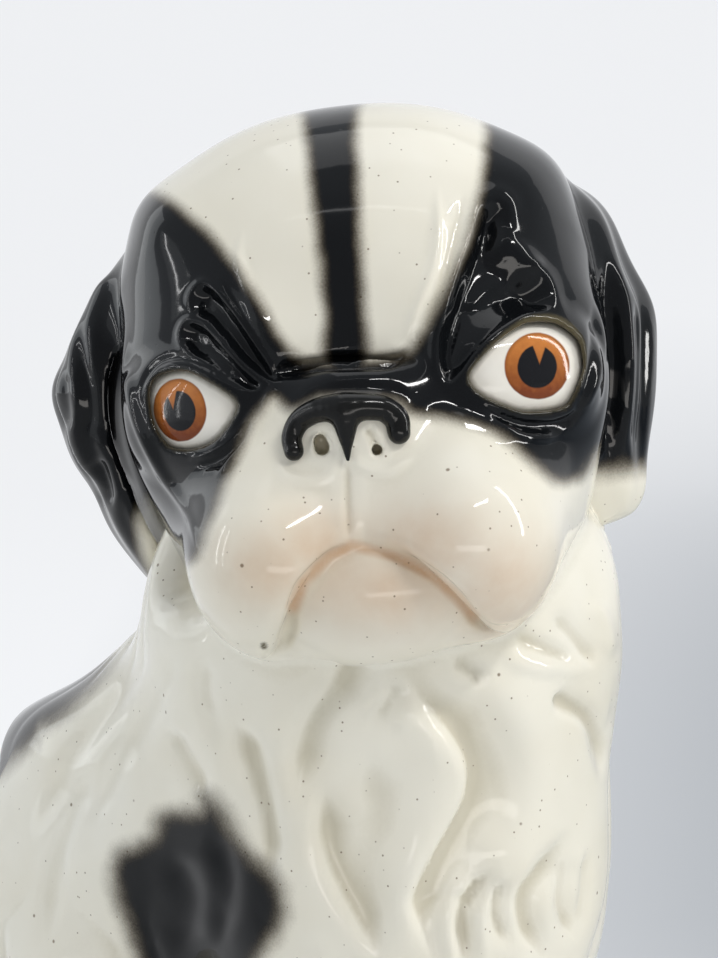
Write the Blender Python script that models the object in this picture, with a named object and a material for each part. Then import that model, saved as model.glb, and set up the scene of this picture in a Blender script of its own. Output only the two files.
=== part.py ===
"""Seated toy spaniel in glazed earthenware, about 330 mm tall.

The figure is slip-cast: a hollow body and a hollow head come out of plaster moulds, and the ears,
eyes, nose, legs, paws and tail are cast or pressed apart and luted on with slip before the firing.
Each clay piece is one object here, and each luted seam is a narrow gap between two pieces.

Sizes are in millimetres and angles in degrees. The body faces -Y and sits on z = 0, with the middle
of its seat at the origin. The head has a frame of its own, with its origin in the middle of the
skull, x to the dog's left, y to the back of the head and z to the crown, and its halves mirror
each other. A form is a signed distance field, negative inside the clay, built up from lobes as a
modeller presses pellets of clay together, and then cast as a mesh.
"""

import math

import bmesh
import bpy
import numpy as np
import openvdb
from mathutils import Matrix, Vector

MM = 0.001
TINY = 1e-6

# Clay and seams
WALL = 7.0
SEAM = 0.3
VENT_DIAMETER = 20.0
VENT_SETBACK = 24.0
NECK_BORE = 44.0

# Head on the body, turned over the right shoulder
HEAD_HEIGHT = 270.0
HEAD_FORWARD = 70.0
HEAD_TURN = 45.0
HEAD_LIFT = 8.0
HEAD_TILT = 7.2

# Skull and jaw
SKULL_WIDTH = 127.0
SKULL_DEPTH = 124.0
SKULL_HEIGHT = 118.0
JAW_WIDTH = 112.0
JAW_DEPTH = 92.0
JAW_HEIGHT = 84.0
JAW_DROP = 42.0
BROW_SPREAD = 80.0
BROW_RISE = 24.0
BROW_HEIGHT = 3.5
CREASE_DEPTH = 3.0
CREASE_WIDTH = 5.5

# Muzzle, lips and chin
MUZZLE_REACH = 23.0
MUZZLE_WIDTH = 76.0
MUZZLE_HEIGHT = 56.0
MUZZLE_DROP = 50.0
FLEW_SPREAD = 45.0
FLEW_WIDTH = 47.0
FLEW_LENGTH = 66.0
FLEW_HEIGHT = 52.0
FLEW_DROP = 57.0
MOUTH_DROP = 55.7
MOUTH_WIDTH = 51.0
MOUTH_DROOP = 22.8
CHIN_WIDTH = 52.0
CHIN_LENGTH = 54.0
CHIN_HEIGHT = 30.0
CHIN_DROP = 71.0
CHIN_SETBACK = 12.0
STOP_DROP = 13.0
STOP_WIDTH = 30.0
STOP_DEPTH = 4.0

# Nose
NOSE_WIDTH = 22.0
NOSE_HEIGHT = 8.5
NOSE_DROP = 23.5
NOSE_ROLL = 9.0
NOSTRIL_ROLL = 6.8

# Eyes
EYE_SPREAD = 76.0
EYE_DROP = 18.5
EYE_SETBACK = 16.8
EYE_WIDTH = 41.0
EYE_HEIGHT = 28.0
EYE_DEPTH = 26.0
EYE_TURN = 36.0
EYE_SHOW = 9.0
LID_THICKNESS = 5.0
LID_LAP = 2.0

# Ears
EAR_LENGTH = 102.0
EAR_WIDTH = 54.0
EAR_THICKNESS = 8.0
EAR_FLARE_LEFT = 8.0
EAR_FLARE_RIGHT = 19.0
EAR_RISE = 40.0
EAR_SETBACK = 15.0
EAR_CUP = 12.0
EAR_FOLD = 2.5
EAR_FOLDS = 2.5
EAR_ROOT = 20.0
EAR_BEND = 0.6

# Body
CHEST_WIDTH = 110.0
CHEST_DEPTH = 104.0
CHEST_HEIGHT = 172.0
CHEST_RISE = 130.0
CHEST_FORWARD = 88.0
MANE_WIDTH = 132.0
MANE_DEPTH = 124.0
MANE_HEIGHT = 116.0
MANE_RISE = 195.0
BACK_WIDTH = 144.0
BACK_RISE = 98.0
WITHERS_WIDTH = 120.0
WITHERS_RISE = 166.0
RUMP_WIDTH = 136.0
RUMP_DEPTH = 132.0
RUMP_HEIGHT = 140.0
RUMP_RISE = 50.0
HAUNCH_WIDTH = 56.0
HAUNCH_LENGTH = 108.0
HAUNCH_HEIGHT = 104.0
HAUNCH_SPREAD = 104.0
HAUNCH_FORWARD = 18.0

# Legs and tail
FORELEG_SPREAD = 60.0
FORELEG_WIDTH = 36.0
SHOULDER_WIDTH = 43.0
WRIST_WIDTH = 31.0
FOREPAW_LENGTH = 48.0
FOREPAW_WIDTH = 38.0
FOREPAW_FORWARD = 10.0
FOREPAW_HEIGHT = 28.0
HIND_PAW_LENGTH = 64.0
HIND_PAW_WIDTH = 32.0
HIND_PAW_HEIGHT = 28.0
HIND_PAW_SPREAD = 124.0
SOLE_TRIM = 3.0
TOE_DEPTH = 3.5
TOE_WIDTH = 3.0
TOE_PITCH = 8.5
TAIL_LENGTH = 135.0
TAIL_WIDTH = 38.0
TAIL_END_WIDTH = 21.0

# Glaze
CREAM = (0.80, 0.76, 0.66)
BLACK = (0.012, 0.011, 0.011)
EYE_WHITE = (0.86, 0.85, 0.80)
GLAZE_ROUGHNESS = 0.12

# Fillets that the modeller's thumb leaves, how square a plump lobe is, and the fineness of the meshes
SOFT_FILLET = 16.0
LOBE_FILLET = 9.0
CRISP_FILLET = 4.0
PLUMPNESS = 2.3
COARSE_GRAIN = 4.0
MIDDLE_GRAIN = 3.0
SMALL_GRAIN = 2.0
FINE_GRAIN = 1.5
HEAD_SHARE = 0.11
BODY_SHARE = 0.08
CORE_SHARE = 0.04
NOSE_SHARE = 0.25
LEG_SHARE = 0.06
PAW_SHARE = 0.15
TAIL_SHARE = 0.09
TAIL_STEPS = 8
EAR_ROWS = 15
EAR_COLUMNS = 11
BAR_SIDES = 32
EYE_SIDES = 18
EYE_RINGS = 11

# Values that follow from the sizes above
FACE_Y = -SKULL_DEPTH / 2
MUZZLE_Y = FACE_Y - MUZZLE_REACH
CHIN_Y = MUZZLE_Y + CHIN_SETBACK


def rotation(axis, degrees):
    return np.array(Matrix.Rotation(math.radians(degrees), 3, axis))


HEAD_ORIGIN = np.array([0.0, -HEAD_FORWARD, HEAD_HEIGHT])
HEAD_AXES = rotation("Z", -HEAD_TURN) @ rotation("X", -HEAD_LIFT) @ rotation("Y", -HEAD_TILT)
HEAD_PLACE = Matrix.Translation(Vector(HEAD_ORIGIN) * MM) @ Matrix(HEAD_AXES).to_4x4()
EYE_MIDDLE = np.array([EYE_SPREAD / 2, FACE_Y + EYE_SETBACK, -EYE_DROP])
EYE_SIZE = np.array([EYE_WIDTH, EYE_DEPTH, EYE_HEIGHT])
EYE_AXES = rotation("Z", EYE_TURN) @ np.diag([1.0, -1.0, 1.0])


# Fields of clay
def mirrored(points):
    return np.column_stack([np.abs(points[:, 0]), points[:, 1], points[:, 2]])


def lobe(points, middle, size, axes=None, power=2.0):
    """A pellet of clay: an ellipsoid, or a squarer one when power is over 2."""
    offset = points - np.asarray(middle)
    if axes is not None:
        offset = offset @ axes
    radii = np.asarray(size) / 2
    share = np.abs(offset) / radii
    reach = np.maximum((share**power).sum(axis=1) ** (1 / power), TINY)
    slope = np.linalg.norm(share ** (power - 1) / radii, axis=1) * reach ** (1 - power)
    return (reach - 1) / np.maximum(slope, TINY)


def along(points, start, end):
    """The nearest share of the way from start to end, and the distance to that place."""
    start = np.asarray(start, dtype=float)
    run = np.asarray(end, dtype=float) - start
    share = np.clip((points - start) @ run / (run @ run), 0, 1)
    return share, np.linalg.norm(points - start - share[:, None] * run, axis=1)


def blend(first, second, fillet):
    overlap = np.maximum(fillet - np.abs(first - second), 0) / fillet
    return np.minimum(first, second) - overlap**2 * fillet / 4


def carve(clay, tool, fillet):
    return -blend(-clay, tool, fillet)


def coil(points, places, widths, fillet):
    """A rolled coil of clay that runs through the places, with its width at each."""
    field = np.full(len(points), 1e3)
    for step in range(len(places) - 1):
        share, distance = along(points, places[step], places[step + 1])
        width = widths[step] + (widths[step + 1] - widths[step]) * share
        field = blend(field, distance - width / 2, fillet)
    return field


def groove(points, places, depth, width):
    """How far a round tool drawn through the places presses the surface in."""
    nearest = np.full(len(points), np.inf)
    for start, end in zip(places, places[1:]):
        nearest = np.minimum(nearest, along(points, start, end)[1])
    return depth * np.exp(-((nearest / width) ** 2))


# Head
def lid_ring(half):
    """Both lids of an eye, as an almond ring of clay that laps over the edge of the eyeball."""
    local = (half - EYE_MIDDLE) @ EYE_AXES
    ring = EYE_SIZE[[0, 2]] / 2 - LID_LAP + LID_THICKNESS / 2
    flat = local[:, [0, 2]]
    reach = np.linalg.norm(flat / ring, axis=1)
    slope = np.linalg.norm(flat / ring**2, axis=1)
    across = reach * (reach - 1) / np.maximum(slope, TINY)
    out = local[:, 1] - (EYE_DEPTH / 2 - EYE_SHOW)
    return np.hypot(across, out) - LID_THICKNESS / 2


def skull_front(x, z):
    """How far forward the bare skull is at this place of the face."""
    left = 1 - (2 * x / SKULL_WIDTH) ** 2 - (2 * z / SKULL_HEIGHT) ** 2
    return FACE_Y * math.sqrt(max(left, 0.0))


def on_skull(x, z):
    return (x, skull_front(x, z), z)


def muzzle_field(half):
    middle = (0, MUZZLE_Y + FLEW_LENGTH / 2 + LOBE_FILLET, -MUZZLE_DROP)
    clay = lobe(half, middle, (MUZZLE_WIDTH, FLEW_LENGTH, MUZZLE_HEIGHT))
    flew_middle = (FLEW_SPREAD / 2, MUZZLE_Y + FLEW_LENGTH / 2, -FLEW_DROP)
    clay = blend(clay, lobe(half, flew_middle, (FLEW_WIDTH, FLEW_LENGTH, FLEW_HEIGHT)), LOBE_FILLET)
    nose_bed = (0, MUZZLE_Y + NOSE_ROLL + NOSE_WIDTH / 2, -NOSE_DROP - NOSE_HEIGHT / 2)
    bed_size = (NOSE_WIDTH, NOSE_WIDTH, NOSE_HEIGHT + 2 * NOSE_ROLL)
    return blend(clay, lobe(half, nose_bed, bed_size), LOBE_FILLET)


def uncut_muzzle_field(points):
    """The muzzle before the mouth is cut, a space that the mane on the chest keeps out of."""
    return muzzle_field(mirrored(points))


def below_lips(half):
    """The space under the parting of the lips, an arch from its middle down to the corners."""
    x, y, z = half.T
    rise = MOUTH_DROOP / (MOUTH_WIDTH / 2) ** 2
    arch = (z + MOUTH_DROP + rise * x**2) / np.hypot(1, 2 * rise * x)
    return np.maximum(arch, y - CHIN_Y - CHIN_SETBACK)


def head_field(points):
    half = mirrored(points)
    skull = lobe(half, (0, 0, 0), (SKULL_WIDTH, SKULL_DEPTH, SKULL_HEIGHT), power=PLUMPNESS)
    jaw_middle = (0, FACE_Y + JAW_DEPTH / 2, -JAW_DROP)
    clay = blend(skull, lobe(half, jaw_middle, (JAW_WIDTH, JAW_DEPTH, JAW_HEIGHT)), SOFT_FILLET)
    socket_middle = EYE_MIDDLE - EYE_AXES[:, 1] * (EYE_SHOW - LID_THICKNESS / 2)
    socket_size = EYE_SIZE + 2 * LID_THICKNESS * np.array([1, 0, 1])
    clay = blend(clay, lobe(half, socket_middle, socket_size, EYE_AXES), LOBE_FILLET)
    clay = blend(clay, muzzle_field(half), SOFT_FILLET)
    clay = carve(clay, below_lips(half), CRISP_FILLET)
    chin_middle = (0, CHIN_Y + CHIN_LENGTH / 2, -CHIN_DROP)
    clay = blend(clay, lobe(half, chin_middle, (CHIN_WIDTH, CHIN_LENGTH, CHIN_HEIGHT)), CRISP_FILLET)
    clay = blend(clay, lid_ring(half), CRISP_FILLET)

    stop_end = on_skull(STOP_WIDTH / 2, -STOP_DROP)
    crease = [stop_end, on_skull(STOP_WIDTH / 2 + CREASE_WIDTH / 2, 0), on_skull(BROW_SPREAD / 3, BROW_RISE)]
    brow_foot = on_skull(STOP_WIDTH / 2 + 2 * CREASE_WIDTH, 0)
    clay = clay + groove(half, [on_skull(0, -STOP_DROP), stop_end], STOP_DEPTH, CREASE_WIDTH)
    clay = clay + groove(half, crease, CREASE_DEPTH, CREASE_WIDTH)
    return clay - groove(half, [brow_foot, on_skull(BROW_SPREAD / 2, BROW_RISE)], BROW_HEIGHT, 2 * CREASE_WIDTH)


def face_front(x, z):
    """How far forward the finished skin is at this place of the face."""
    steps = np.linspace(MUZZLE_Y - SKULL_DEPTH / 2, 0, 800)
    line = np.column_stack([np.full_like(steps, x), steps, np.full_like(steps, z)])
    return float(steps[np.argmax(head_field(line) < 0)])


def nose_field(points):
    """The nose leather: a roll that arches over both nostrils, with a wedge down the middle."""
    half = mirrored(points)
    arch = []
    for angle in (0, 25, 50, 75, 100):
        x = NOSE_WIDTH / 2 * math.sin(math.radians(angle))
        z = -NOSE_DROP - NOSE_HEIGHT * (1 - math.cos(math.radians(angle)))
        arch.append((x, face_front(x, z), z))
    roll = coil(half, arch, np.linspace(NOSE_ROLL, NOSTRIL_ROLL, len(arch)), CRISP_FILLET)
    tip_z = -NOSE_DROP - NOSE_HEIGHT
    wedge = coil(half, [arch[0], (0, face_front(0, tip_z), tip_z)], (NOSE_ROLL, NOSE_ROLL / 2), CRISP_FILLET)
    return blend(roll, wedge, CRISP_FILLET)


# Body, legs and tail
def body_field(points):
    half = mirrored(points)
    clay = lobe(half, (0, 0, RUMP_RISE), (RUMP_WIDTH, RUMP_DEPTH, RUMP_HEIGHT), power=PLUMPNESS)
    withers = (0, -HEAD_FORWARD, WITHERS_RISE)
    back = coil(half, [withers, (0, 0, BACK_RISE)], (WITHERS_WIDTH, BACK_WIDTH), SOFT_FILLET)
    clay = blend(clay, back, SOFT_FILLET)
    haunch_middle = (HAUNCH_SPREAD / 2, -HAUNCH_FORWARD, HAUNCH_HEIGHT / 2)
    clay = blend(clay, lobe(half, haunch_middle, (HAUNCH_WIDTH, HAUNCH_LENGTH, HAUNCH_HEIGHT)), LOBE_FILLET)
    chest = lobe(half, (0, -CHEST_FORWARD, CHEST_RISE), (CHEST_WIDTH, CHEST_DEPTH, CHEST_HEIGHT))
    clay = blend(clay, chest, SOFT_FILLET)
    mane_middle = (0, -(CHEST_FORWARD + HEAD_FORWARD) / 2, MANE_RISE)
    return blend(clay, lobe(half, mane_middle, (MANE_WIDTH, MANE_DEPTH, MANE_HEIGHT)), SOFT_FILLET)


def toes(points, x, tip_y, length, height):
    """The grooves that part the four toes of a paw, from the sole up over its front; it points to -Y."""
    press = np.zeros(len(points))
    for step in (-1, 0, 1):
        toe_x = x + step * TOE_PITCH
        press += groove(points, [(toe_x, tip_y, 0), (toe_x, tip_y + length / 3, height)], TOE_DEPTH, TOE_WIDTH)
    return press


def foreleg_field(points):
    x = FORELEG_SPREAD / 2
    y = -CHEST_FORWARD - FORELEG_WIDTH / 2
    places = [(x, -CHEST_FORWARD, CHEST_RISE), (x, y, CHEST_RISE / 2), (x, y, FOREPAW_HEIGHT)]
    leg = coil(points, places, (SHOULDER_WIDTH, FORELEG_WIDTH, WRIST_WIDTH), SOFT_FILLET)
    paw_y = y - FOREPAW_FORWARD
    paw_middle = (x, paw_y, FOREPAW_HEIGHT / 2 - SOLE_TRIM)
    paw = lobe(points, paw_middle, (FOREPAW_WIDTH, FOREPAW_LENGTH, FOREPAW_HEIGHT))
    clay = blend(leg, paw, LOBE_FILLET)
    return clay + toes(points, x, paw_y - FOREPAW_LENGTH / 2, FOREPAW_LENGTH, FOREPAW_HEIGHT)


def hind_paw_field(points):
    x = HIND_PAW_SPREAD / 2
    y = -HAUNCH_FORWARD - HAUNCH_LENGTH / 2 + HIND_PAW_LENGTH / 4
    middle = (x, y, HIND_PAW_HEIGHT / 2 - SOLE_TRIM)
    paw = lobe(points, middle, (HIND_PAW_WIDTH, HIND_PAW_LENGTH, HIND_PAW_HEIGHT))
    return paw + toes(points, x, y - HIND_PAW_LENGTH / 2, HIND_PAW_LENGTH, HIND_PAW_HEIGHT)


def tail_field(points):
    """A plume that leaves the rump low down and lies round the dog's left haunch."""
    places = []
    widths = []
    radius_x = (HAUNCH_SPREAD + HAUNCH_WIDTH) / 2
    radius_y = RUMP_DEPTH / 2 + TAIL_WIDTH / 4
    for share in np.linspace(0, 1, TAIL_STEPS):
        angle = math.pi / 2 - share * TAIL_LENGTH / radius_x
        places.append((radius_x * math.cos(angle), radius_y * math.sin(angle), TAIL_WIDTH / 2 - SOLE_TRIM))
        widths.append(TAIL_END_WIDTH + (TAIL_WIDTH - TAIL_END_WIDTH) * math.sin(math.pi * share))
    return coil(points, places, widths, LOBE_FILLET)


# Cores that the poured slip leaves empty
def head_core_field(points):
    half = mirrored(points)
    eye = lobe(half, EYE_MIDDLE, EYE_SIZE, EYE_AXES)
    return np.maximum(head_field(points) + WALL, WALL - eye)


def body_core_field(points):
    in_head = (points - HEAD_ORIGIN) @ HEAD_AXES
    return np.maximum.reduce([body_field(points) + WALL, WALL - head_field(in_head), WALL - points[:, 2]])


# Casting and finishing
def cast(name, field, low, high, grain):
    """A mesh in metres of the skin of a field inside a box."""
    axes = [np.arange(start, end + grain, grain) for start, end in zip(low, high)]
    grid = np.stack(np.meshgrid(*axes, indexing="ij"), axis=-1)
    values = field(grid.reshape(-1, 3)).reshape(grid.shape[:3])
    volume = openvdb.FloatGrid(float(values.max()))
    volume.copyFromArray(values.astype(np.float32))
    corners, quads = volume.convertToQuads(0.0)
    mesh = bpy.data.meshes.new(name)
    mesh.from_pydata((corners * grain + np.asarray(low)) * MM, [], quads.tolist())
    mesh.update()
    return mesh


def finished(shape, name):
    mesh = bpy.data.meshes.new(name)
    shape.to_mesh(mesh)
    shape.free()
    return mesh


def flipped(mesh):
    """The same mesh mirrored to the dog's other side."""
    shape = bmesh.new()
    shape.from_mesh(mesh)
    bmesh.ops.scale(shape, vec=(-1, 1, 1), verts=shape.verts)
    bmesh.ops.reverse_faces(shape, faces=shape.faces)
    return finished(shape, mesh.name)


def ear_mesh(flare):
    """A flap lofted from its root in the skull to its tip, cupped and folded across its width.

    It swings out from the root, hangs straight at EAR_BEND of its length and comes in again at the tip.
    """
    shape = bmesh.new()
    root_x = SKULL_WIDTH / 2 - EAR_ROOT
    swing = flare + EAR_ROOT
    rings = []
    for t in np.linspace(0, 1, EAR_ROWS):
        middle_x = root_x + swing * math.sin(math.pi / 2 * t / EAR_BEND)
        z = EAR_RISE - EAR_LENGTH * t**1.25
        half_width = EAR_WIDTH / 2 * math.sqrt(math.sin(math.pi * (0.12 + 0.85 * t)))
        outer = []
        inner = []
        for s in np.linspace(-1, 1, EAR_COLUMNS):
            fold = EAR_FOLD * math.sin(math.pi * t) * math.sin(EAR_FOLDS * math.pi * s + 2 * t)
            x = middle_x - EAR_CUP * s**2 * half_width / (EAR_WIDTH / 2) + fold
            y = EAR_SETBACK + s * half_width
            thick = EAR_THICKNESS / 2 * math.sqrt(1 - 0.85 * s**2)
            outer.append(shape.verts.new(Vector((x + thick, y, z)) * MM))
            inner.append(shape.verts.new(Vector((x - thick, y, z)) * MM))
        rings.append(outer + inner[::-1])
    for upper, lower in zip(rings, rings[1:]):
        for k in range(len(upper)):
            n = (k + 1) % len(upper)
            shape.faces.new((upper[k], upper[n], lower[n], lower[k]))
    shape.faces.new(rings[0])
    shape.faces.new(rings[-1])
    bmesh.ops.recalc_face_normals(shape, faces=shape.faces)
    return finished(shape, "ear")


def eye_mesh():
    shape = bmesh.new()
    bmesh.ops.create_uvsphere(shape, u_segments=EYE_SIDES, v_segments=EYE_RINGS, radius=0.5)
    turn = Matrix(EYE_AXES @ np.diag([1.0, -1.0, 1.0])).to_4x4()
    swell = Matrix.Diagonal(Vector(EYE_SIZE * MM)).to_4x4()
    place = Matrix.Translation(Vector(EYE_MIDDLE) * MM) @ turn @ swell
    bmesh.ops.transform(shape, matrix=place, verts=shape.verts)
    return finished(shape, "eye")


def bar_mesh(diameter, start, end):
    """A round bar between two places, for holes."""
    shape = bmesh.new()
    run = Vector(end) - Vector(start)
    bmesh.ops.create_cone(
        shape,
        cap_ends=True,
        segments=BAR_SIDES,
        radius1=diameter / 2 * MM,
        radius2=diameter / 2 * MM,
        depth=run.length * MM,
    )
    turn = run.to_track_quat("Z", "Y").to_matrix().to_4x4()
    middle = (Vector(start) + Vector(end)) / 2 * MM
    bmesh.ops.transform(shape, matrix=Matrix.Translation(middle) @ turn, verts=shape.verts)
    return finished(shape, "bar")


def ground_mesh():
    """A block whose top is the table, to trim the feet flat."""
    shape = bmesh.new()
    side = 2 * HEAD_HEIGHT * MM
    bmesh.ops.create_cube(shape, size=side)
    bmesh.ops.translate(shape, vec=(0, 0, -side / 2), verts=shape.verts)
    return finished(shape, "ground")


def glaze(name, colour):
    finish = bpy.data.materials.new(name)
    finish.use_nodes = True
    shader = finish.node_tree.nodes["Principled BSDF"]
    shader.inputs["Base Color"].default_value = (*colour, 1)
    shader.inputs["Roughness"].default_value = GLAZE_ROUGHNESS
    shader.inputs["Metallic"].default_value = 0.0
    return finish


def add_object(name, mesh, place=None):
    item = bpy.data.objects.new(name, mesh)
    bpy.context.scene.collection.objects.link(item)
    item.matrix_world = place or Matrix.Identity(4)
    return item


def thin_out(item, share):
    """Leaves this share of a cast mesh's triangles."""
    step = item.modifiers.new("thin_out", "DECIMATE")
    step.ratio = share
    step.use_collapse_triangulate = True


def piece(name, mesh, colour, place=None, share=None):
    """A clay piece that is handed on, shaded smooth and in its own glaze."""
    item = add_object(name, mesh, place)
    mesh.materials.clear()
    mesh.materials.append(glaze(name, colour))
    mesh.shade_smooth()
    if share:
        thin_out(item, share)
    return item


def cutter(name, mesh, place=None, share=None, swell=0.0):
    """A tool that shapes other pieces: a copy of a piece swollen by the seam, a core or a bar."""
    item = add_object(name, mesh, place)
    item.hide_render = True
    item.display_type = "WIRE"
    if share:
        thin_out(item, share)
    if swell:
        step = item.modifiers.new("swell", "DISPLACE")
        step.strength = swell * MM
        step.mid_level = 0.0
    return item


def cut(item, *tools):
    for tool in tools:
        step = item.modifiers.new(f"cut_{tool.name}", "BOOLEAN")
        step.operation = "DIFFERENCE"
        step.solver = "EXACT"
        step.object = tool


def clear_scene():
    for item in list(bpy.data.objects):
        bpy.data.objects.remove(item)


def build():
    clear_scene()
    ground = cutter("ground", ground_mesh())
    vent = cutter("vent", bar_mesh(VENT_DIAMETER, (0, VENT_SETBACK, -WALL), (0, VENT_SETBACK, 2 * WALL)))
    neck_top = HEAD_ORIGIN + HEAD_AXES @ np.array([0, 0, -JAW_DROP])
    neck_foot = (0, -CHEST_FORWARD, CHEST_RISE)
    bore = cutter("neck_bore", bar_mesh(NECK_BORE, neck_foot, neck_top))

    # The head, round its core and the two eyeballs
    reach = SKULL_WIDTH / 2 + 2 * LOBE_FILLET
    head_low = (-reach, MUZZLE_Y - SOFT_FILLET, -JAW_DROP - JAW_HEIGHT / 2 - SOFT_FILLET)
    head_high = (reach, SKULL_DEPTH / 2 + SOFT_FILLET, SKULL_HEIGHT / 2 + SOFT_FILLET)
    head_mesh = cast("head", head_field, head_low, head_high, MIDDLE_GRAIN)
    head = piece("head", head_mesh, CREAM, HEAD_PLACE, HEAD_SHARE)
    head_seat = cutter("head_seat", head_mesh, HEAD_PLACE, HEAD_SHARE, SEAM)
    muzzle_mesh = cast("muzzle", uncut_muzzle_field, head_low, head_high, MIDDLE_GRAIN)
    muzzle_seat = cutter("muzzle_seat", muzzle_mesh, HEAD_PLACE, HEAD_SHARE, SEAM)
    core = cast("head_core", head_core_field, head_low, head_high, COARSE_GRAIN)
    cut(head, cutter("head_core", core, HEAD_PLACE, CORE_SHARE), bore)
    for side, ball in (("left", eye_mesh()), ("right", flipped(eye_mesh()))):
        piece(f"eye_{side}", ball, EYE_WHITE, HEAD_PLACE)
        cut(head, cutter(f"eye_{side}_seat", ball, HEAD_PLACE, swell=SEAM))

    # The body, round its core, with a vent in the seat, a bed for the head and room under the lips
    width = max(BACK_WIDTH, HAUNCH_SPREAD + HAUNCH_WIDTH) / 2 + SOFT_FILLET
    body_low = (-width, -CHEST_FORWARD - MANE_DEPTH, -RUMP_HEIGHT / 2)
    body_high = (width, BACK_WIDTH / 2 + RUMP_DEPTH / 4, HEAD_HEIGHT + MANE_HEIGHT / 2)
    body_mesh = cast("body", body_field, body_low, body_high, COARSE_GRAIN)
    body = piece("body", body_mesh, CREAM, share=BODY_SHARE)
    body_seat = cutter("body_seat", body_mesh, share=BODY_SHARE, swell=SEAM)
    core = cast("body_core", body_core_field, body_low, body_high, COARSE_GRAIN)
    cut(body, cutter("body_core", core, share=CORE_SHARE), ground, head_seat, muzzle_seat, vent, bore)

    # The pieces luted on to the head
    for side, flap in (("left", ear_mesh(EAR_FLARE_LEFT)), ("right", flipped(ear_mesh(EAR_FLARE_RIGHT)))):
        cut(piece(f"ear_{side}", flap, BLACK, HEAD_PLACE), head_seat, body_seat)
    nose_low = (-NOSE_WIDTH, MUZZLE_Y - 2 * NOSE_ROLL, -NOSE_DROP - NOSE_HEIGHT - 2 * NOSE_ROLL)
    nose_high = (NOSE_WIDTH, FACE_Y + 2 * NOSE_ROLL, -NOSE_DROP + 2 * NOSE_ROLL)
    nose_mesh = cast("nose", nose_field, nose_low, nose_high, FINE_GRAIN)
    cut(piece("nose", nose_mesh, BLACK, HEAD_PLACE, NOSE_SHARE), head_seat)

    # The pieces luted on to the body, trimmed flat underneath
    leg_x = FORELEG_SPREAD / 2
    leg_low = (leg_x - FORELEG_WIDTH, -CHEST_FORWARD - 2 * FORELEG_WIDTH - FOREPAW_LENGTH, -FOREPAW_HEIGHT)
    leg_high = (leg_x + FORELEG_WIDTH, -CHEST_FORWARD + FORELEG_WIDTH, CHEST_RISE + FORELEG_WIDTH)
    leg_mesh = cast("foreleg", foreleg_field, leg_low, leg_high, SMALL_GRAIN)
    paw_x = HIND_PAW_SPREAD / 2
    paw_low = (paw_x - HIND_PAW_WIDTH, -HAUNCH_FORWARD - HAUNCH_LENGTH - HIND_PAW_LENGTH, -HIND_PAW_HEIGHT)
    paw_high = (paw_x + HIND_PAW_WIDTH, HIND_PAW_LENGTH / 2, 2 * HIND_PAW_HEIGHT)
    paw_mesh = cast("hind_paw", hind_paw_field, paw_low, paw_high, SMALL_GRAIN)
    for side in ("left", "right"):
        cut(piece(f"foreleg_{side}", leg_mesh, CREAM, share=LEG_SHARE), body_seat, ground)
        cut(piece(f"hind_paw_{side}", paw_mesh, CREAM, share=PAW_SHARE), body_seat, ground)
        leg_mesh = flipped(leg_mesh)
        paw_mesh = flipped(paw_mesh)
    tail_reach = (HAUNCH_SPREAD + HAUNCH_WIDTH) / 2 + TAIL_WIDTH
    tail_low = (-2 * TAIL_WIDTH, -tail_reach, -TAIL_WIDTH)
    tail_high = (tail_reach, RUMP_DEPTH / 2 + 2 * TAIL_WIDTH, 2 * TAIL_WIDTH)
    tail_mesh = cast("tail", tail_field, tail_low, tail_high, MIDDLE_GRAIN)
    cut(piece("tail", tail_mesh, CREAM, share=TAIL_SHARE), body_seat, ground)


build()
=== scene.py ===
"""The looks of a seated toy spaniel in glazed earthenware, with its head turned over one shoulder.

Forms are worked out in millimetres as signed distance fields, negative inside the clay, and cast as meshes
in metres. The body faces -Y and sits on z = 0. Places read from the photograph are pixels of its 718 x 958
frame, each of which is laid on the clay that is seen there.
"""

import math

import bmesh
import bpy
import numpy as np
import openvdb
from mathutils import Matrix, Vector


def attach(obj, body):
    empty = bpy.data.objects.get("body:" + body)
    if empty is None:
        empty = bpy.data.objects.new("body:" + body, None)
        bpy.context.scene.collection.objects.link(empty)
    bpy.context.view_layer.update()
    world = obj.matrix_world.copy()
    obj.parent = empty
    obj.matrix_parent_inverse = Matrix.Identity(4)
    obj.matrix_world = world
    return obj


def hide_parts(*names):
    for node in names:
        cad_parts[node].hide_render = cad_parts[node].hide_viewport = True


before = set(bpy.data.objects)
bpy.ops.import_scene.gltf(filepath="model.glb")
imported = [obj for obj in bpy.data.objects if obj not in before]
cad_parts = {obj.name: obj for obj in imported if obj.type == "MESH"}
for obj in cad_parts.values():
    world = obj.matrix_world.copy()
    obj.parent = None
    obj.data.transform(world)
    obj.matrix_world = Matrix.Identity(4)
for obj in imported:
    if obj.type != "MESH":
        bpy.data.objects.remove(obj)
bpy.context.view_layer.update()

# Head
# A hollow slip casting of skull, brows, lids, muzzle, lips and chin, in cream earthenware.
# It is luted to the body at the neck. The black is sprayed on the bare clay, and a clear glaze is fired over
# both, so it lies thick in the creases and shows the clay's pinholes. The darker tint that the materials give
# the creases is partly that glaze and partly painted shade.
MM = 0.001
TINY = 1e-6
FAR = 50.0
SLIP_REACH = 0.9


def rotation(axis, degrees):
    return np.array(Matrix.Rotation(math.radians(degrees), 3, axis))


def lobe(points, middle, size, axes=None, power=2.0):
    """A pellet of clay: an ellipsoid, or a squarer one when power is over 2."""
    offset = points - np.asarray(middle)
    if axes is not None:
        offset = offset @ axes
    radii = np.asarray(size) / 2
    share = np.abs(offset) / radii
    reach = np.maximum((share**power).sum(axis=1) ** (1 / power), TINY)
    slope = np.linalg.norm(share ** (power - 1) / radii, axis=1) * reach ** (1 - power)
    return (reach - 1) / np.maximum(slope, TINY)


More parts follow.
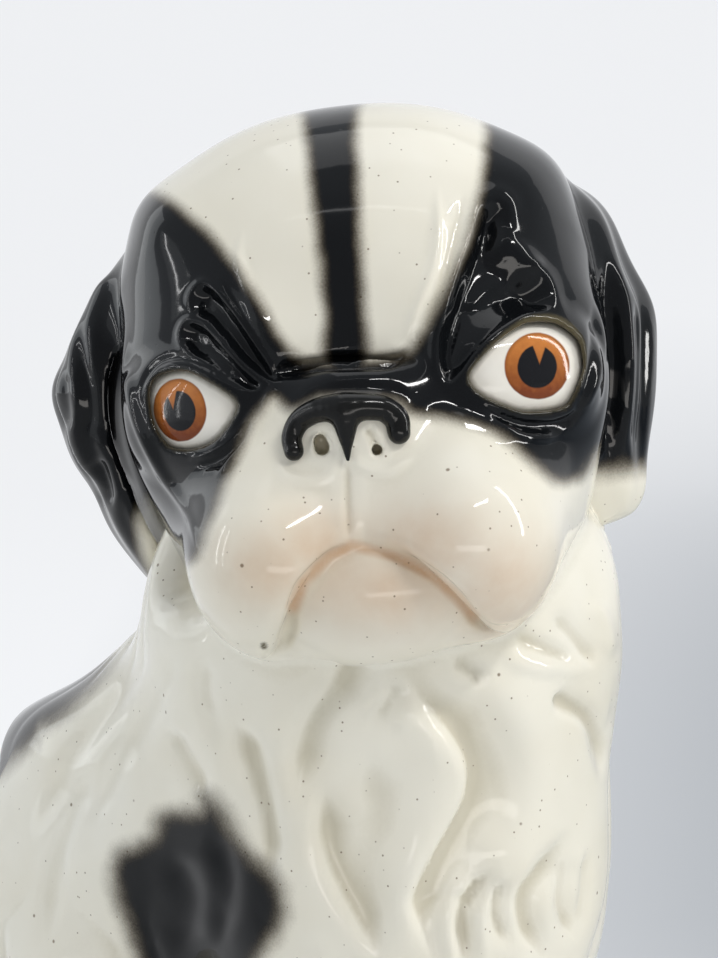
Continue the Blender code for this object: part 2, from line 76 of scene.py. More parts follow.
def along(points, start, end):
    """The nearest share of the way from start to end, and the distance to that place."""
    start = np.asarray(start, dtype=float)
    run = np.asarray(end, dtype=float) - start
    share = np.clip((points - start) @ run / max(run @ run, TINY), 0, 1)
    return share, np.linalg.norm(points - start - share[:, None] * run, axis=1)


def blend(first, second, fillet):
    overlap = np.maximum(fillet - np.abs(first - second), 0) / fillet
    return np.minimum(first, second) - overlap**2 * fillet / 4


def carve(clay, tool, fillet):
    return -blend(-clay, tool, fillet)


def coil(points, places, widths, fillet):
    """A rolled coil of clay that runs through the places, with its width at each."""
    field = np.full(len(points), 1e3)
    for step in range(len(places) - 1):
        share, distance = along(points, places[step], places[step + 1])
        width = widths[step] + (widths[step + 1] - widths[step]) * share
        field = blend(field, distance - width / 2, fillet)
    return field


def groove(points, places, depth, width):
    """How far a round tool drawn through the places presses the surface in."""
    nearest = np.full(len(points), np.inf)
    for start, end in zip(places, places[1:]):
        nearest = np.minimum(nearest, along(points, start, end)[1])
    return depth * np.exp(-((nearest / width) ** 2))


def mirrored(points):
    return np.column_stack([np.abs(points[:, 0]), points[:, 1], points[:, 2]])


def seated(piece, host, fillet):
    """A luted piece with the fillet of slip round its foot, which thins out on the host."""
    return np.maximum(blend(piece, host, fillet), piece - SLIP_REACH * fillet)


# The head's own frame: origin in the middle of the skull, x to its left, y to the back, z to the crown
HEAD_ORIGIN = np.array([0.0, -70.0, 270.0])
HEAD_AXES = rotation("Z", -45.0) @ rotation("X", -8.0) @ rotation("Y", -7.2)

# The photograph's view, which is also the camera's
PHOTO_WIDTH = 718
PHOTO_HEIGHT = 958
LENS = 84.0
SENSOR = 36.0
FOCAL_PIXELS = PHOTO_HEIGHT * LENS / SENSOR
VIEW_TURN = math.radians(-40.0)
VIEW_RISE = math.radians(8.0)
VIEW_RIGHT = np.array([math.cos(VIEW_TURN), math.sin(VIEW_TURN), 0.0])
VIEW_BACK = np.array([
    math.sin(VIEW_TURN) * math.cos(VIEW_RISE),
    -math.cos(VIEW_TURN) * math.cos(VIEW_RISE),
    math.sin(VIEW_RISE),
])
VIEW_UP = np.cross(VIEW_BACK, VIEW_RIGHT)
VIEW_DISTANCE = 600.0
VIEW_LEFT_SHIFT = 1.6
VIEW_DROP = 40.0
CAMERA_PLACE = HEAD_ORIGIN - VIEW_LEFT_SHIFT * VIEW_RIGHT + VIEW_DISTANCE * VIEW_BACK - VIEW_DROP * VIEW_UP
# Shares of the viewing distance between which the figure lies
RAY_SHARES = np.linspace(0.7, 1.3, 1800)


def seen(points):
    """The pixel at which each point is seen, and its depth."""
    offset = points - CAMERA_PLACE
    depth = -offset @ VIEW_BACK
    across = PHOTO_WIDTH / 2 + FOCAL_PIXELS * (offset @ VIEW_RIGHT) / depth
    down = PHOTO_HEIGHT / 2 - FOCAL_PIXELS * (offset @ VIEW_UP) / depth
    return np.column_stack([across, down]), depth


def touched(field, pixel):
    """The place on the clay that is seen at a pixel."""
    across = (pixel[0] - PHOTO_WIDTH / 2) / FOCAL_PIXELS
    up = (PHOTO_HEIGHT / 2 - pixel[1]) / FOCAL_PIXELS
    ray = across * VIEW_RIGHT + up * VIEW_UP - VIEW_BACK
    places = CAMERA_PLACE + RAY_SHARES[:, None] * VIEW_DISTANCE * ray
    return places[np.argmax(field(places) < 0)]


def nudged(points, nudges):
    """The places of points before outlines were moved to where the photograph shows them.

    A nudge is a pixel on the moved outline, its move and its reach, all in pixels.
    """
    pixels, depth = seen(points)
    moved = np.zeros((len(points), 2))
    for pixel, move, reach in nudges:
        share = np.exp(-(((pixels - pixel) / reach) ** 2).sum(axis=1))
        moved += share[:, None] * np.array(move)
    scale = (depth / FOCAL_PIXELS)[:, None]
    return points - scale * (moved[:, :1] * VIEW_RIGHT - moved[:, 1:] * VIEW_UP)


def curve(corners, closed=False, steps=5):
    """A smooth line through a few given corners."""
    corners = np.asarray(corners, dtype=float)
    if closed:
        ends = np.vstack([corners[-1:], corners, corners[:2]])
    else:
        ends = np.vstack([2 * corners[0] - corners[1], corners, 2 * corners[-1] - corners[-2]])
    line = []
    for before, start, end, after in zip(ends, ends[1:], ends[2:], ends[3:]):
        for t in np.arange(steps) / steps:
            bend = (2 * before - 5 * start + 4 * end - after) * t**2
            twist = (-before + 3 * start - 3 * end + after) * t**3
            line.append((2 * start + (end - before) * t + bend + twist) / 2)
    line.append(corners[0] if closed else corners[-1])
    return np.array(line)


def inside_distance(pixels, outline):
    """Signed distance in pixels to a closed outline, negative inside it."""
    nearest = np.full(len(pixels), np.inf)
    within = np.zeros(len(pixels), dtype=bool)
    x, y = pixels.T
    for start, end in zip(outline, outline[1:]):
        nearest = np.minimum(nearest, along(pixels, start, end)[1])
        crosses = (start[1] > y) != (end[1] > y)
        rise = end[1] - start[1]
        if rise:
            within ^= crosses & (x < start[0] + (y - start[1]) * (end[0] - start[0]) / rise)
    return np.where(within, -nearest, nearest)


SKULL_WIDTH = 127.0
SKULL_DEPTH = 124.0
SKULL_HEIGHT = 118.0
PLUMPNESS = 2.3
JAW_SIZE = (112.0, 92.0, 84.0)
JAW_DROP = 42.0
SOFT_FILLET = 16.0
LOBE_FILLET = 9.0
CRISP_FILLET = 4.0
FACE_Y = -SKULL_DEPTH / 2
MUZZLE_Y = FACE_Y - 23.0
MUZZLE_SIZE = (76.0, 66.0, 56.0)
MUZZLE_DROP = 50.0
FLEW_SIZE = (47.0, 66.0, 52.0)
FLEW_SPREAD = 45.0
FLEW_DROP = 57.0
NOSE_BED_SIZE = (22.0, 22.0, 26.5)
NOSE_BED_DROP = 27.75
NOSE_BED_SETBACK = 20.0
MOUTH_DROP = 55.7
MOUTH_WIDTH = 51.0
MOUTH_DROOP = 22.8
MOUTH_DEPTH = 24.0
CHIN_SIZE = (60.0, 58.0, 41.0)
CHIN_DROP = 66.5
CHIN_SETBACK = 7.5
STOP_DROP = 13.0
STOP_REACH = 15.0
STOP_DEPTH = 4.0
STOP_WIDTH = 5.5
BROW_REACH = 40.0
BROW_RISE = 24.0
BROW_HEIGHT = 2.0
EYE_MIDDLE = np.array([38.0, FACE_Y + 16.8, -18.5])
EYE_SIZE = np.array([41.0, 26.0, 28.0])
EYE_AXES = rotation("Z", 36.0) @ np.diag([1.0, -1.0, 1.0])
EYE_FULLNESS = 2.6
SOCKET_SINK = 6.5
SOCKET_ROOM = (10.0, 0.0, 10.0)
SOCKET_FILLET = 22.0
LID_THICKNESS = 2.6
LID_LEAST = 1.6
LID_CUT = 9.0
LID_EDGE = 1.6
LID_REACH = 12.0
NOSTRIL_EDGE = 1.0

# Outlines of the white that the lids leave open, the dog's right eye first
EYE_OPENINGS = (
    [(150, 395), (155, 379), (167, 373), (179, 371), (193, 374), (220, 389), (236, 402), (234, 415),
     (220, 435), (208, 444), (193, 449), (179, 449), (167, 444), (154, 423)],
    [(470, 381), (474, 367), (498, 341), (522, 325), (536, 322), (552, 323), (565, 329), (577, 340),
     (582, 355), (582, 372), (569, 402), (555, 409), (538, 411), (519, 410), (485, 396)],
)

# The crown's outline on both sides, as the photograph shows it
HEAD_NUDGES = (
    ((140, 204), (-12, -4), 48),
    ((121, 280), (-5, 0), 40),
    ((552, 160), (6, -8), 48),
)


def on_skull(x, z):
    left = 1 - (2 * x / SKULL_WIDTH) ** 2 - (2 * z / SKULL_HEIGHT) ** 2
    return (x, FACE_Y * math.sqrt(max(left, 0.0)), z)


def in_head(points):
    return (points - HEAD_ORIGIN) @ HEAD_AXES


def bare_head(points):
    """The head before the lids and nostrils are worked, from the same lobes as the solid."""
    half = mirrored(in_head(nudged(points, HEAD_NUDGES)))
    clay = lobe(half, (0, 0, 0), (SKULL_WIDTH, SKULL_DEPTH, SKULL_HEIGHT), power=PLUMPNESS)
    clay = blend(clay, lobe(half, (0, FACE_Y + JAW_SIZE[1] / 2, -JAW_DROP), JAW_SIZE), SOFT_FILLET)
    socket = lobe(half, EYE_MIDDLE - EYE_AXES[:, 1] * SOCKET_SINK, EYE_SIZE + SOCKET_ROOM, EYE_AXES)
    clay = blend(clay, socket, SOCKET_FILLET)
    muzzle = lobe(half, (0, MUZZLE_Y + MUZZLE_SIZE[1] / 2 + LOBE_FILLET, -MUZZLE_DROP), MUZZLE_SIZE)
    flew = lobe(half, (FLEW_SPREAD / 2, MUZZLE_Y + FLEW_SIZE[1] / 2, -FLEW_DROP), FLEW_SIZE)
    muzzle = blend(muzzle, flew, LOBE_FILLET)
    bed = lobe(half, (0, MUZZLE_Y + NOSE_BED_SETBACK, -NOSE_BED_DROP), NOSE_BED_SIZE)
    clay = blend(clay, blend(muzzle, bed, LOBE_FILLET), SOFT_FILLET)
    x, y, z = half.T
    rise = MOUTH_DROOP / (MOUTH_WIDTH / 2) ** 2
    arch = (z + MOUTH_DROP + rise * x**2) / np.hypot(1, 2 * rise * x)
    clay = carve(clay, np.maximum(arch, y - MUZZLE_Y - MOUTH_DEPTH), CRISP_FILLET)
    chin_y = MUZZLE_Y + CHIN_SETBACK + CHIN_SIZE[1] / 2
    clay = blend(clay, lobe(half, (0, chin_y, -CHIN_DROP), CHIN_SIZE), CRISP_FILLET)
    stop = [on_skull(0, -STOP_DROP), on_skull(STOP_REACH, -STOP_DROP)]
    brow = [on_skull(STOP_REACH + 2 * STOP_WIDTH, 0), on_skull(BROW_REACH, BROW_RISE)]
    clay = clay + groove(half, stop, STOP_DEPTH, STOP_WIDTH)
    return clay - groove(half, brow, BROW_HEIGHT, 2 * STOP_WIDTH)


def eyeball(points):
    return lobe(mirrored(in_head(points)), EYE_MIDDLE, EYE_SIZE, EYE_AXES, EYE_FULLNESS)


def eye_opening(points, ball):
    """Distance in millimetres to the gap between the lids, negative in it, near the eyeballs."""
    gap = np.full(len(points), FAR)
    near = np.flatnonzero(ball < LID_REACH)
    pixels, depth = seen(points[near])
    right_side = in_head(points[near])[:, 0] < 0
    for outline, chosen in zip(EYE_OPENINGS, (right_side, ~right_side)):
        distance = inside_distance(pixels[chosen], curve(outline, closed=True))
        gap[near[chosen]] = distance * depth[chosen] / FOCAL_PIXELS
    return gap


# Nostril holes: a pixel, the width and how far the hole runs back, in millimetres
NOSTRILS = (
    ((320, 441), 3.0, 6.0),
    ((322, 448), 3.4, 6.0),
    ((377, 450), 2.5, 6.0),
)
nostril_places = [touched(bare_head, pixel) for pixel, _, _ in NOSTRILS]


def head_field(points):
    clay = bare_head(points)
    ball = eyeball(points)
    clay = blend(clay, ball - LID_THICKNESS, CRISP_FILLET)
    clay = carve(clay, np.maximum(eye_opening(points, ball), ball - LID_CUT), LID_EDGE)
    for place, (_, width, depth) in zip(nostril_places, NOSTRILS):
        hole = coil(points, [place, place - depth * VIEW_BACK], (width, width), NOSTRIL_EDGE)
        clay = carve(clay, hole, NOSTRIL_EDGE)
    return clay


# Casting of a field as a mesh: cells in a block, the blocks kept near the skin, and how it is settled
CELLS = 4
NEAR_BLOCKS = 1.4
SETTLINGS = 2
SLOPE_STEP = 0.15
LEAST_SLOPE = 0.05


def normals_of(field, points):
    """The field's value and its slope at each point."""
    value = field(points)
    slope = np.empty_like(points)
    for axis in range(3):
        shifted = points.copy()
        shifted[:, axis] += SLOPE_STEP
        slope[:, axis] = (field(shifted) - value) / SLOPE_STEP
    return value, slope


def skin(field, low, high, grain):
    """Corners and quads of a field's surface in a box, each corner settled on the field itself."""
    block = CELLS * grain
    counts = np.ceil((np.asarray(high) - low) / block).astype(int)
    cells = np.stack(np.meshgrid(*[np.arange(n) for n in counts], indexing="ij"), axis=-1)
    middles = np.asarray(low) + (cells.reshape(-1, 3) + 0.5 - 0.5 / CELLS) * block
    rough = field(middles)
    near = np.flatnonzero(np.abs(rough) < NEAR_BLOCKS * block)
    steps = np.arange(CELLS) * grain
    inner = np.stack(np.meshgrid(steps, steps, steps, indexing="ij"), axis=-1).reshape(-1, 3)
    corners = np.asarray(low) + cells.reshape(-1, 3)[near] * block
    values = np.repeat(rough[:, None], CELLS**3, axis=1)
    values[near] = field((corners[:, None] + inner).reshape(-1, 3)).reshape(len(near), -1)
    values = values.reshape(*counts, CELLS, CELLS, CELLS)
    values = values.transpose(0, 3, 1, 4, 2, 5).reshape(counts * CELLS)
    volume = openvdb.FloatGrid(FAR)
    volume.copyFromArray(np.ascontiguousarray(values, dtype=np.float32))
    places, quads = volume.convertToQuads(0.0)
    places = places.astype(float) * grain + low
    for _ in range(SETTLINGS):
        value, slope = normals_of(field, places)
        steep = np.maximum((slope**2).sum(axis=1), LEAST_SLOPE)
        move = (value / steep)[:, None] * slope
        places -= np.clip(move, -grain, grain)
    slope = normals_of(field, places)[1]
    return places, quads, slope / np.maximum(np.linalg.norm(slope, axis=1), TINY)[:, None]


FACING_GAIN = 4
STROKE_MARGIN = 2.4
STROKE_TIP = 0.45
STROKE_FADE = 4
HOLLOW_ROUNDS = 40


def facing_photo(places, normals):
    """1 where the skin faces the photograph's view, and less down to 0 where it turns away."""
    toward = CAMERA_PLACE - places
    return np.clip(FACING_GAIN * (normals * toward).sum(axis=1) / np.linalg.norm(toward, axis=1), 0, 1)


def eased(share):
    share = np.clip(share, 0, 1)
    return share**2 * (3 - 2 * share)


def scooped(places, normals, scoops):
    """How far broad hollows, read in the photograph, sink each place of the skin that faces it.

    A scoop is its outline in pixels, its depth in millimetres and the width of its slope in pixels.
    """
    pixels = seen(places)[0]
    press = np.zeros(len(places))
    for outline, depth, slope in scoops:
        line = curve(outline, closed=True)
        near = np.flatnonzero(((pixels > line.min(axis=0)) & (pixels < line.max(axis=0))).all(axis=1))
        press[near] += depth * eased(-inside_distance(pixels[near], line) / slope)
    return press * facing_photo(places, normals)


def stroked(places, normals, strokes):
    """How far modelling strokes, read in the photograph, press each place of the skin in that faces it.

    A stroke is its corners in pixels, its depth in millimetres, where a negative depth is a ridge, and its
    half width in pixels, or the half widths on its left and right if it is drawn downward. It narrows and
    fades out at both ends.
    """
    pixels = seen(places)[0]
    facing = facing_photo(places, normals)
    press = np.zeros(len(places))
    for corners, depth, widths in strokes:
        line = curve(corners)
        left_width, right_width = widths if isinstance(widths, tuple) else (widths, widths)
        margin = STROKE_MARGIN * max(left_width, right_width)
        low = line.min(axis=0) - margin
        high = line.max(axis=0) + margin
        near = np.flatnonzero(((pixels > low) & (pixels < high)).all(axis=1) & (facing > 0))
        if not len(near):
            continue
        nearest = np.full(len(near), np.inf)
        taper = np.zeros(len(near))
        width = np.zeros(len(near))
        for step, (start, end) in enumerate(zip(line, line[1:])):
            share, distance = along(pixels[near], start, end)
            offset = pixels[near] - start
            side = offset[:, 1] * (end - start)[0] - offset[:, 0] * (end - start)[1]
            closer = distance < nearest
            nearest = np.where(closer, distance, nearest)
            taper = np.where(closer, (step + share) / (len(line) - 1), taper)
            width = np.where(closer, np.where(side > 0, left_width, right_width), width)
        taper = eased(STROKE_FADE * np.minimum(taper, 1 - taper))
        width = width * (STROKE_TIP + (1 - STROKE_TIP) * taper)
        press[near] += depth * taper * np.exp(-((nearest / width) ** 2))
    return press * facing


def averaged(values, quads, times):
    """Values spread over the neighbours along the quads' edges, some times over."""
    edges = np.vstack([quads[:, [k, (k + 1) % 4]] for k in range(4)])
    count = np.bincount(edges.ravel(), minlength=len(values))
    for _ in range(times):
        spread = np.empty_like(values)
        for axis in range(values.shape[1]):
            column = values[:, axis]
            total = np.bincount(edges[:, 0], column[edges[:, 1]], len(values))
            total += np.bincount(edges[:, 1], column[edges[:, 0]], len(values))
            spread[:, axis] = total / np.maximum(count, 1)
        values = (values + spread) / 2
    return values


def shown(name, data):
    item = bpy.data.objects.new(name, data)
    bpy.context.scene.collection.objects.link(item)
    return item


def clay_piece(name, places, quads, normals, paint):
    """An object of a cast skin with its paint, and the depth of each place below its surroundings."""
    mesh = bpy.data.meshes.new(name)
    mesh.from_pydata(places * MM, [], quads.tolist())
    mesh.shade_smooth()
    hollow = ((averaged(places, quads, HOLLOW_ROUNDS) - places) * normals).sum(axis=1)
    blank = np.zeros(len(places))
    for label, values in {"hollow": hollow, "rim": blank, "pink": blank, "bare": blank, **paint}.items():
        mesh.attributes.new(label, "FLOAT", "POINT").data.foreach_set("value", values.astype(np.float32))
    return shown(name, mesh)


HEAD_GRAIN = 0.75
HEAD_REACH = 92.0
HEAD_FORE = (22.0, 22.0, 14.0)
HEAD_SCOOPS = [
    # The hollow over the dog's left eye, deepest beside its sharp edge
    ([(477, 208), (458, 262), (442, 310), (434, 350), (438, 375), (450, 385), (464, 374), (482, 350),
      (502, 331), (526, 316), (552, 310), (551, 284), (533, 264), (514, 246), (513, 222), (508, 206),
      (497, 199), (485, 200)], 5.2, 24),
    # Two hollows over the dog's right eye
    ([(205, 283), (219, 292), (238, 316), (258, 345), (280, 378), (266, 380), (243, 364), (222, 342),
      (204, 322), (194, 314), (191, 301), (195, 289)], 3.2, 10),
    ([(188, 321), (204, 326), (222, 344), (243, 366), (262, 384), (250, 392), (232, 382), (206, 364),
      (191, 355), (183, 344), (182, 331)], 2.6, 9),
]
HEAD_STROKES = [
    # The stop and the roll of the nose bridge
    ([(268, 374), (293, 368), (333, 362), (387, 361), (412, 350)], 1.8, 6),
    ([(284, 360), (333, 351), (387, 351), (408, 340)], -0.9, 6),
    ([(292, 406), (318, 392), (345, 387), (390, 389), (414, 404)], 1.0, 6),
    # Edges of the forehead and of the hollow over the dog's left eye
    ([(437, 180), (438, 250), (424, 296), (398, 352)], -0.9, 6),
    ([(464, 186), (452, 250), (437, 296), (416, 350)], 1.2, 9),
    ([(480, 196), (470, 232), (456, 266), (442, 308), (434, 350), (440, 382)], -0.9, 5),
    ([(474, 224), (480, 202), (496, 193), (510, 202), (518, 232)], -0.7, 9),
    ([(506, 228), (522, 250), (535, 264), (547, 280), (555, 300), (570, 318)], -0.9, 9),
    ([(545, 260), (516, 275), (490, 292), (466, 322)], -1.3, 11),
    # Under and beside the dog's left eye
    ([(474, 400), (510, 420), (540, 426), (567, 422), (592, 402)], 1.4, 5),
    ([(494, 418), (514, 433), (534, 438), (564, 434)], -1.1, 6),
    ([(424, 408), (452, 418), (488, 428), (524, 448)], -0.7, 8),
    ([(600, 270), (602, 330), (598, 372), (588, 398), (570, 432)], -0.9, 5),
    ([(593, 300), (594, 345), (586, 392), (570, 424)], 0.8, 5),
    # Edges of the forehead and of the hollows over the dog's right eye
    ([(243, 226), (239, 258), (245, 280), (253, 302), (264, 322), (286, 354)], -0.9, 6),
    ([(222, 278), (244, 318), (262, 347), (288, 388)], 1.0, 5),
    ([(236, 322), (219, 296), (205, 283), (194, 290), (190, 303), (196, 318)], -0.7, 5),
    ([(210, 324), (190, 320), (181, 332), (183, 346), (194, 358)], -0.7, 5),
    ([(140, 404), (144, 380), (158, 362), (180, 357), (206, 366), (236, 384), (258, 404)], 0.8, 3.5),
    # Folds under the dog's right eye
    ([(182, 462), (220, 449), (246, 425), (257, 402)], -0.9, 4),
    ([(214, 480), (242, 446), (262, 412), (276, 380)], -1.0, 5),
    ([(196, 472), (232, 449), (254, 416)], 1.0, 5),
    # Nostril rims, philtrum and lips
    ([(272, 460), (288, 476), (315, 481), (332, 473), (341, 456)], -0.9, 6),
    ([(351, 450), (362, 465), (388, 471), (418, 454)], -0.9, 6),
    ([(302, 462), (310, 436), (324, 434), (333, 448), (326, 462)], 0.7, 4),
    ([(365, 428), (372, 436), (377, 450)], 1.4, 4),
    ([(347, 456), (348, 503), (350, 548)], 0.9, 3.5),
    ([(335, 470), (338, 500), (342, 535)], -0.4, 8),
    ([(362, 470), (360, 500), (358, 535)], -0.4, 8),
    ([(352, 543), (332, 554), (303, 582), (294, 604), (291, 632), (282, 656)], 1.2, 5),
    ([(352, 543), (393, 555), (433, 575), (458, 597), (475, 620), (497, 630), (540, 616)], 1.2, 5),
    # The side of the face, where the hair lies over the ear
    ([(122, 240), (119, 280), (122, 335), (127, 376), (138, 424), (160, 470), (188, 514), (202, 570)],
     -1.0, 5),
]
head_low = HEAD_ORIGIN - HEAD_REACH - HEAD_FORE
head_high = HEAD_ORIGIN + HEAD_REACH
head_places, head_quads, head_normals = skin(head_field, head_low, head_high, HEAD_GRAIN)
head_press = scooped(head_places, head_normals, HEAD_SCOOPS)
head_press = head_press + stroked(head_places, head_normals, HEAD_STROKES)
head_press = np.minimum(head_press, np.maximum(eyeball(head_places) - LID_LEAST, 0))
head_places -= head_normals * head_press[:, None]

# Sprayed black on the front of the head, as outlines in the photograph, and on its back
MASK_RIGHT = [
    (90, 170), (150, 192), (182, 210), (222, 250), (256, 298), (282, 340), (302, 360), (330, 372),
    (322, 396), (292, 410), (274, 398), (258, 414), (240, 448), (222, 490), (207, 525), (185, 565), (90, 570),
]
MASK_LEFT = [
    (494, 100), (486, 150), (474, 220), (448, 284), (420, 338), (404, 354), (350, 362), (300, 364),
    (298, 394), (345, 398), (395, 402), (414, 414), (440, 417), (478, 426), (512, 444), (540, 470),
    (560, 482), (582, 476), (600, 450), (640, 420), (660, 250), (610, 150), (550, 100),
]
STRIPE = [
    (301, 90), (305, 125), (311, 180), (318, 240), (325, 310), (327, 370), (366, 370), (363, 300),
    (360, 230), (357, 170), (355, 120), (359, 90),
]
MASK_DEPTH = VIEW_DISTANCE + 12.0
# Pink spots on the lips: a pixel, and how far they reach across and down
BLUSHES = (
    (272, 570, 56, 42), (318, 545, 56, 40), (425, 545, 74, 44), (500, 585, 56, 56), (385, 590, 80, 46),
)
BLUSH = 0.9
# A tan line along the mouth crease: partly glaze pooled in it, partly painted shade
MOUTH_LINE = [
    (293, 606), (304, 582), (330, 556), (352, 545), (393, 556), (433, 576), (458, 598), (474, 616),
]
MOUTH_LINE_WIDTH = 8.0
MOUTH_POOL_AND_SHADE = 1.5
RIM_REACH = 6.0
RIM_EDGE = 1.2
RIM_WIDTHS = (0.8, 0.9)
RIM_TOP = 1.9
RIM_TOP_SIDE = (555.0, 330.0)
RIM_TOP_REACH = 40.0
# Chips: a pixel and the radius in pixels
CHIPS = ((264, 646, 4.5), (641, 511, 4.0))
NAPE_SIZE = (84.0, 96.0, 150.0)
NAPE_MIDDLE = (66.0, 34.0, 10.0)
CROWN_SIZE = (15.5, 100.0, 50.0)

# The stripe runs on over the crown and tapers out behind it
STRIPE_TOP = (331, 124)
CROWN_SETBACK = (0.0, 12.0, 0.0)
CROWN_MIDDLE = in_head(touched(bare_head, STRIPE_TOP)) * (1, 0, 1) + CROWN_SETBACK


def patched(places, outlines, back_depth):
    """Signed distance in millimetres to sprayed patches on the side that the photograph shows."""
    pixels, depth = seen(places)
    scale = depth / FOCAL_PIXELS
    distance = np.full(len(places), FAR)
    for outline in outlines:
        distance = np.minimum(distance, inside_distance(pixels, curve(outline, closed=True)) * scale)
    return np.maximum(distance, depth - back_depth)


def head_black(places):
    front = patched(places, (MASK_RIGHT, MASK_LEFT, STRIPE), MASK_DEPTH)
    local = in_head(places)
    back = np.minimum(lobe(mirrored(local), NAPE_MIDDLE, NAPE_SIZE), lobe(local, CROWN_MIDDLE, CROWN_SIZE))
    return np.minimum(front, back)


def blushed(places, spots):
    pixels = seen(places)[0]
    # The pink also carries the mouth crease's tan line, which is partly painted shade
    pink = groove(pixels, MOUTH_LINE, MOUTH_POOL_AND_SHADE, MOUTH_LINE_WIDTH)
    for x, y, wide, high in spots:
        pink = np.maximum(pink, BLUSH * np.exp(-(((pixels - (x, y)) / (wide, high)) ** 2).sum(axis=1)))
    return pink


def rim_width(places):
    """How far the lids' edge is left free of black, more on the upper lid of the dog's left eye."""
    pixels = seen(places)[0]
    top = np.exp(-(((pixels - RIM_TOP_SIDE) / RIM_TOP_REACH) ** 2).sum(axis=1))
    return np.where(in_head(places)[:, 0] < 0, RIM_WIDTHS[0], RIM_WIDTHS[1] + RIM_TOP * top)


def chipped(places):
    """1 in the small chips where the dark body under the glaze shows."""
    pixels = seen(places)[0]
    chips = np.zeros(len(places))
    for x, y, radius in CHIPS:
        chips = np.maximum(chips, np.clip(2 - 2 * np.linalg.norm(pixels - (x, y), axis=1) / radius, 0, 1))
    return chips


def head_paint(places):
    black = head_black(places)
    ball = eyeball(places)
    gap = np.where(ball < RIM_REACH, eye_opening(places, ball), FAR)
    return {
        "black": black,
        "pink": blushed(places, BLUSHES),
        "rim": np.maximum(np.clip((rim_width(places) - gap) / RIM_EDGE, 0, 1), chipped(places)),
    }


class Wire:
    """A shader socket that carries a number, on which plain arithmetic adds Math nodes."""

    def __init__(self, socket):
        self.socket = socket

    def math(self, operation, *others, swap=False):
        tree = self.socket.id_data
        node = tree.nodes.new("ShaderNodeMath")
        node.operation = operation
        values = [*others, self] if swap else [self, *others]
        for place, value in enumerate(values):
            if isinstance(value, Wire):
                tree.links.new(value.socket, node.inputs[place])
            else:
                node.inputs[place].default_value = value
        return Wire(node.outputs[0])

    def __add__(self, other):
        return self.math("ADD", other)

    def __sub__(self, other):
        return self.math("SUBTRACT", other)

    def __rsub__(self, other):
        return self.math("SUBTRACT", other, swap=True)

    def __mul__(self, other):
        return self.math("MULTIPLY", other)

    def __truediv__(self, other):
        return self.math("DIVIDE", other)

    def __pow__(self, other):
        return self.math("POWER", other)

    __radd__ = __add__
    __rmul__ = __mul__

    def clipped(self):
        return self.math("MAXIMUM", 0.0).math("MINIMUM", 1.0)


class Finish:
    """The nodes of a material, or of the world, round its one shader."""

    def __init__(self, owner, shader="Principled BSDF"):
        owner.use_nodes = True
        self.owner = owner
        self.tree = owner.node_tree
        self.shader = self.tree.nodes[shader]

    def node(self, kind, settings=None, inputs=None, output=0):
        node = self.tree.nodes.new(kind)
        for key, value in (settings or {}).items():
            setattr(node, key, value)
        for key, value in (inputs or {}).items():
            self.put(node.inputs[key], value)
        return Wire(node.outputs[output])

    def put(self, socket, value):
        if isinstance(value, Wire):
            self.tree.links.new(value.socket, socket)
        else:
            socket.default_value = value

    def set(self, **values):
        for key, value in values.items():
            self.put(self.shader.inputs[key.replace("_", " ")], value)

    def painted(self, label, output="Fac"):
        return self.node("ShaderNodeAttribute", {"attribute_name": label}, output=output)

    def millimetres(self):
        place = self.node("ShaderNodeTexCoord", output="Object")
        return self.node("ShaderNodeVectorMath", {"operation": "SCALE"}, {0: place, "Scale": 1 / MM})

    def toward(self, place, direction):
        """How far a place lies in a direction."""
        values = {0: place, 1: tuple(direction)}
        return self.node("ShaderNodeVectorMath", {"operation": "DOT_PRODUCT"}, values, output="Value")

    def noise(self, place, size, detail=2.0):
        """Noise round 0, from about -0.5 to 0.5, with features of this size in millimetres."""
        values = {"Vector": place, "Scale": 1 / size, "Detail": detail}
        return self.node("ShaderNodeTexNoise", None, values) - 0.5

    def mix(self, share, under, over):
        """A colour over another one, as far as the share says."""
        values = {"Factor": share, 6: under, 7: over}
        return self.node("ShaderNodeMix", {"data_type": "RGBA"}, values, output=2)

    def bump(self, height, strength):
        """Normals of a surface with this height in millimetres."""
        values = {"Strength": strength, "Distance": MM, "Height": height}
        return self.node("ShaderNodeBump", None, values)

    def specks(self, place, spacing, radius, share):
        """Round specks, in a share of the cells of this spacing, 1 in their middle."""
        values = {"Vector": place, "Scale": 1 / spacing}
        distance = self.node("ShaderNodeTexVoronoi", None, values, output="Distance") * spacing
        colour = self.node("ShaderNodeTexVoronoi", None, values, output="Color")
        chance = self.node("ShaderNodeSeparateColor", None, {"Color": colour})
        chosen = chance.math("LESS_THAN", share)
        return ((radius - distance) * (2 / radius)).clipped() * chosen


CREAM = (0.86, 0.83, 0.73, 1)
WARM_CREAM = (0.80, 0.755, 0.63, 1)
POOLED_GLAZE_AND_SHADE = (0.44, 0.39, 0.26, 1)
PINK = (0.62, 0.42, 0.27, 1)
BLACK = (0.0040, 0.0046, 0.0055, 1)
BROWN = (0.085, 0.058, 0.026, 1)
# Olive of the lids' bare rims and the chips, also used as painted shade on the eyeballs next to the lids
OLIVE_RIM_AND_LID_SHADE = (0.085, 0.07, 0.036, 1)
BISCUIT = (0.62, 0.50, 0.36, 1)
SPECK = (0.16, 0.10, 0.05, 1)
SPRAY_WIDTH = 5.2
# Lower than a real glaze, for blacks as dark as the photograph's
GLAZE_IOR = 1.36
GLAZE_ROUGHNESS = 0.07
BARE_ROUGHNESS = 0.55
# Pinholes: the spacing and radius in millimetres, and the share of places that have one
PINHOLES = ((2.7, 0.34, 0.4), (8.0, 0.62, 0.3))


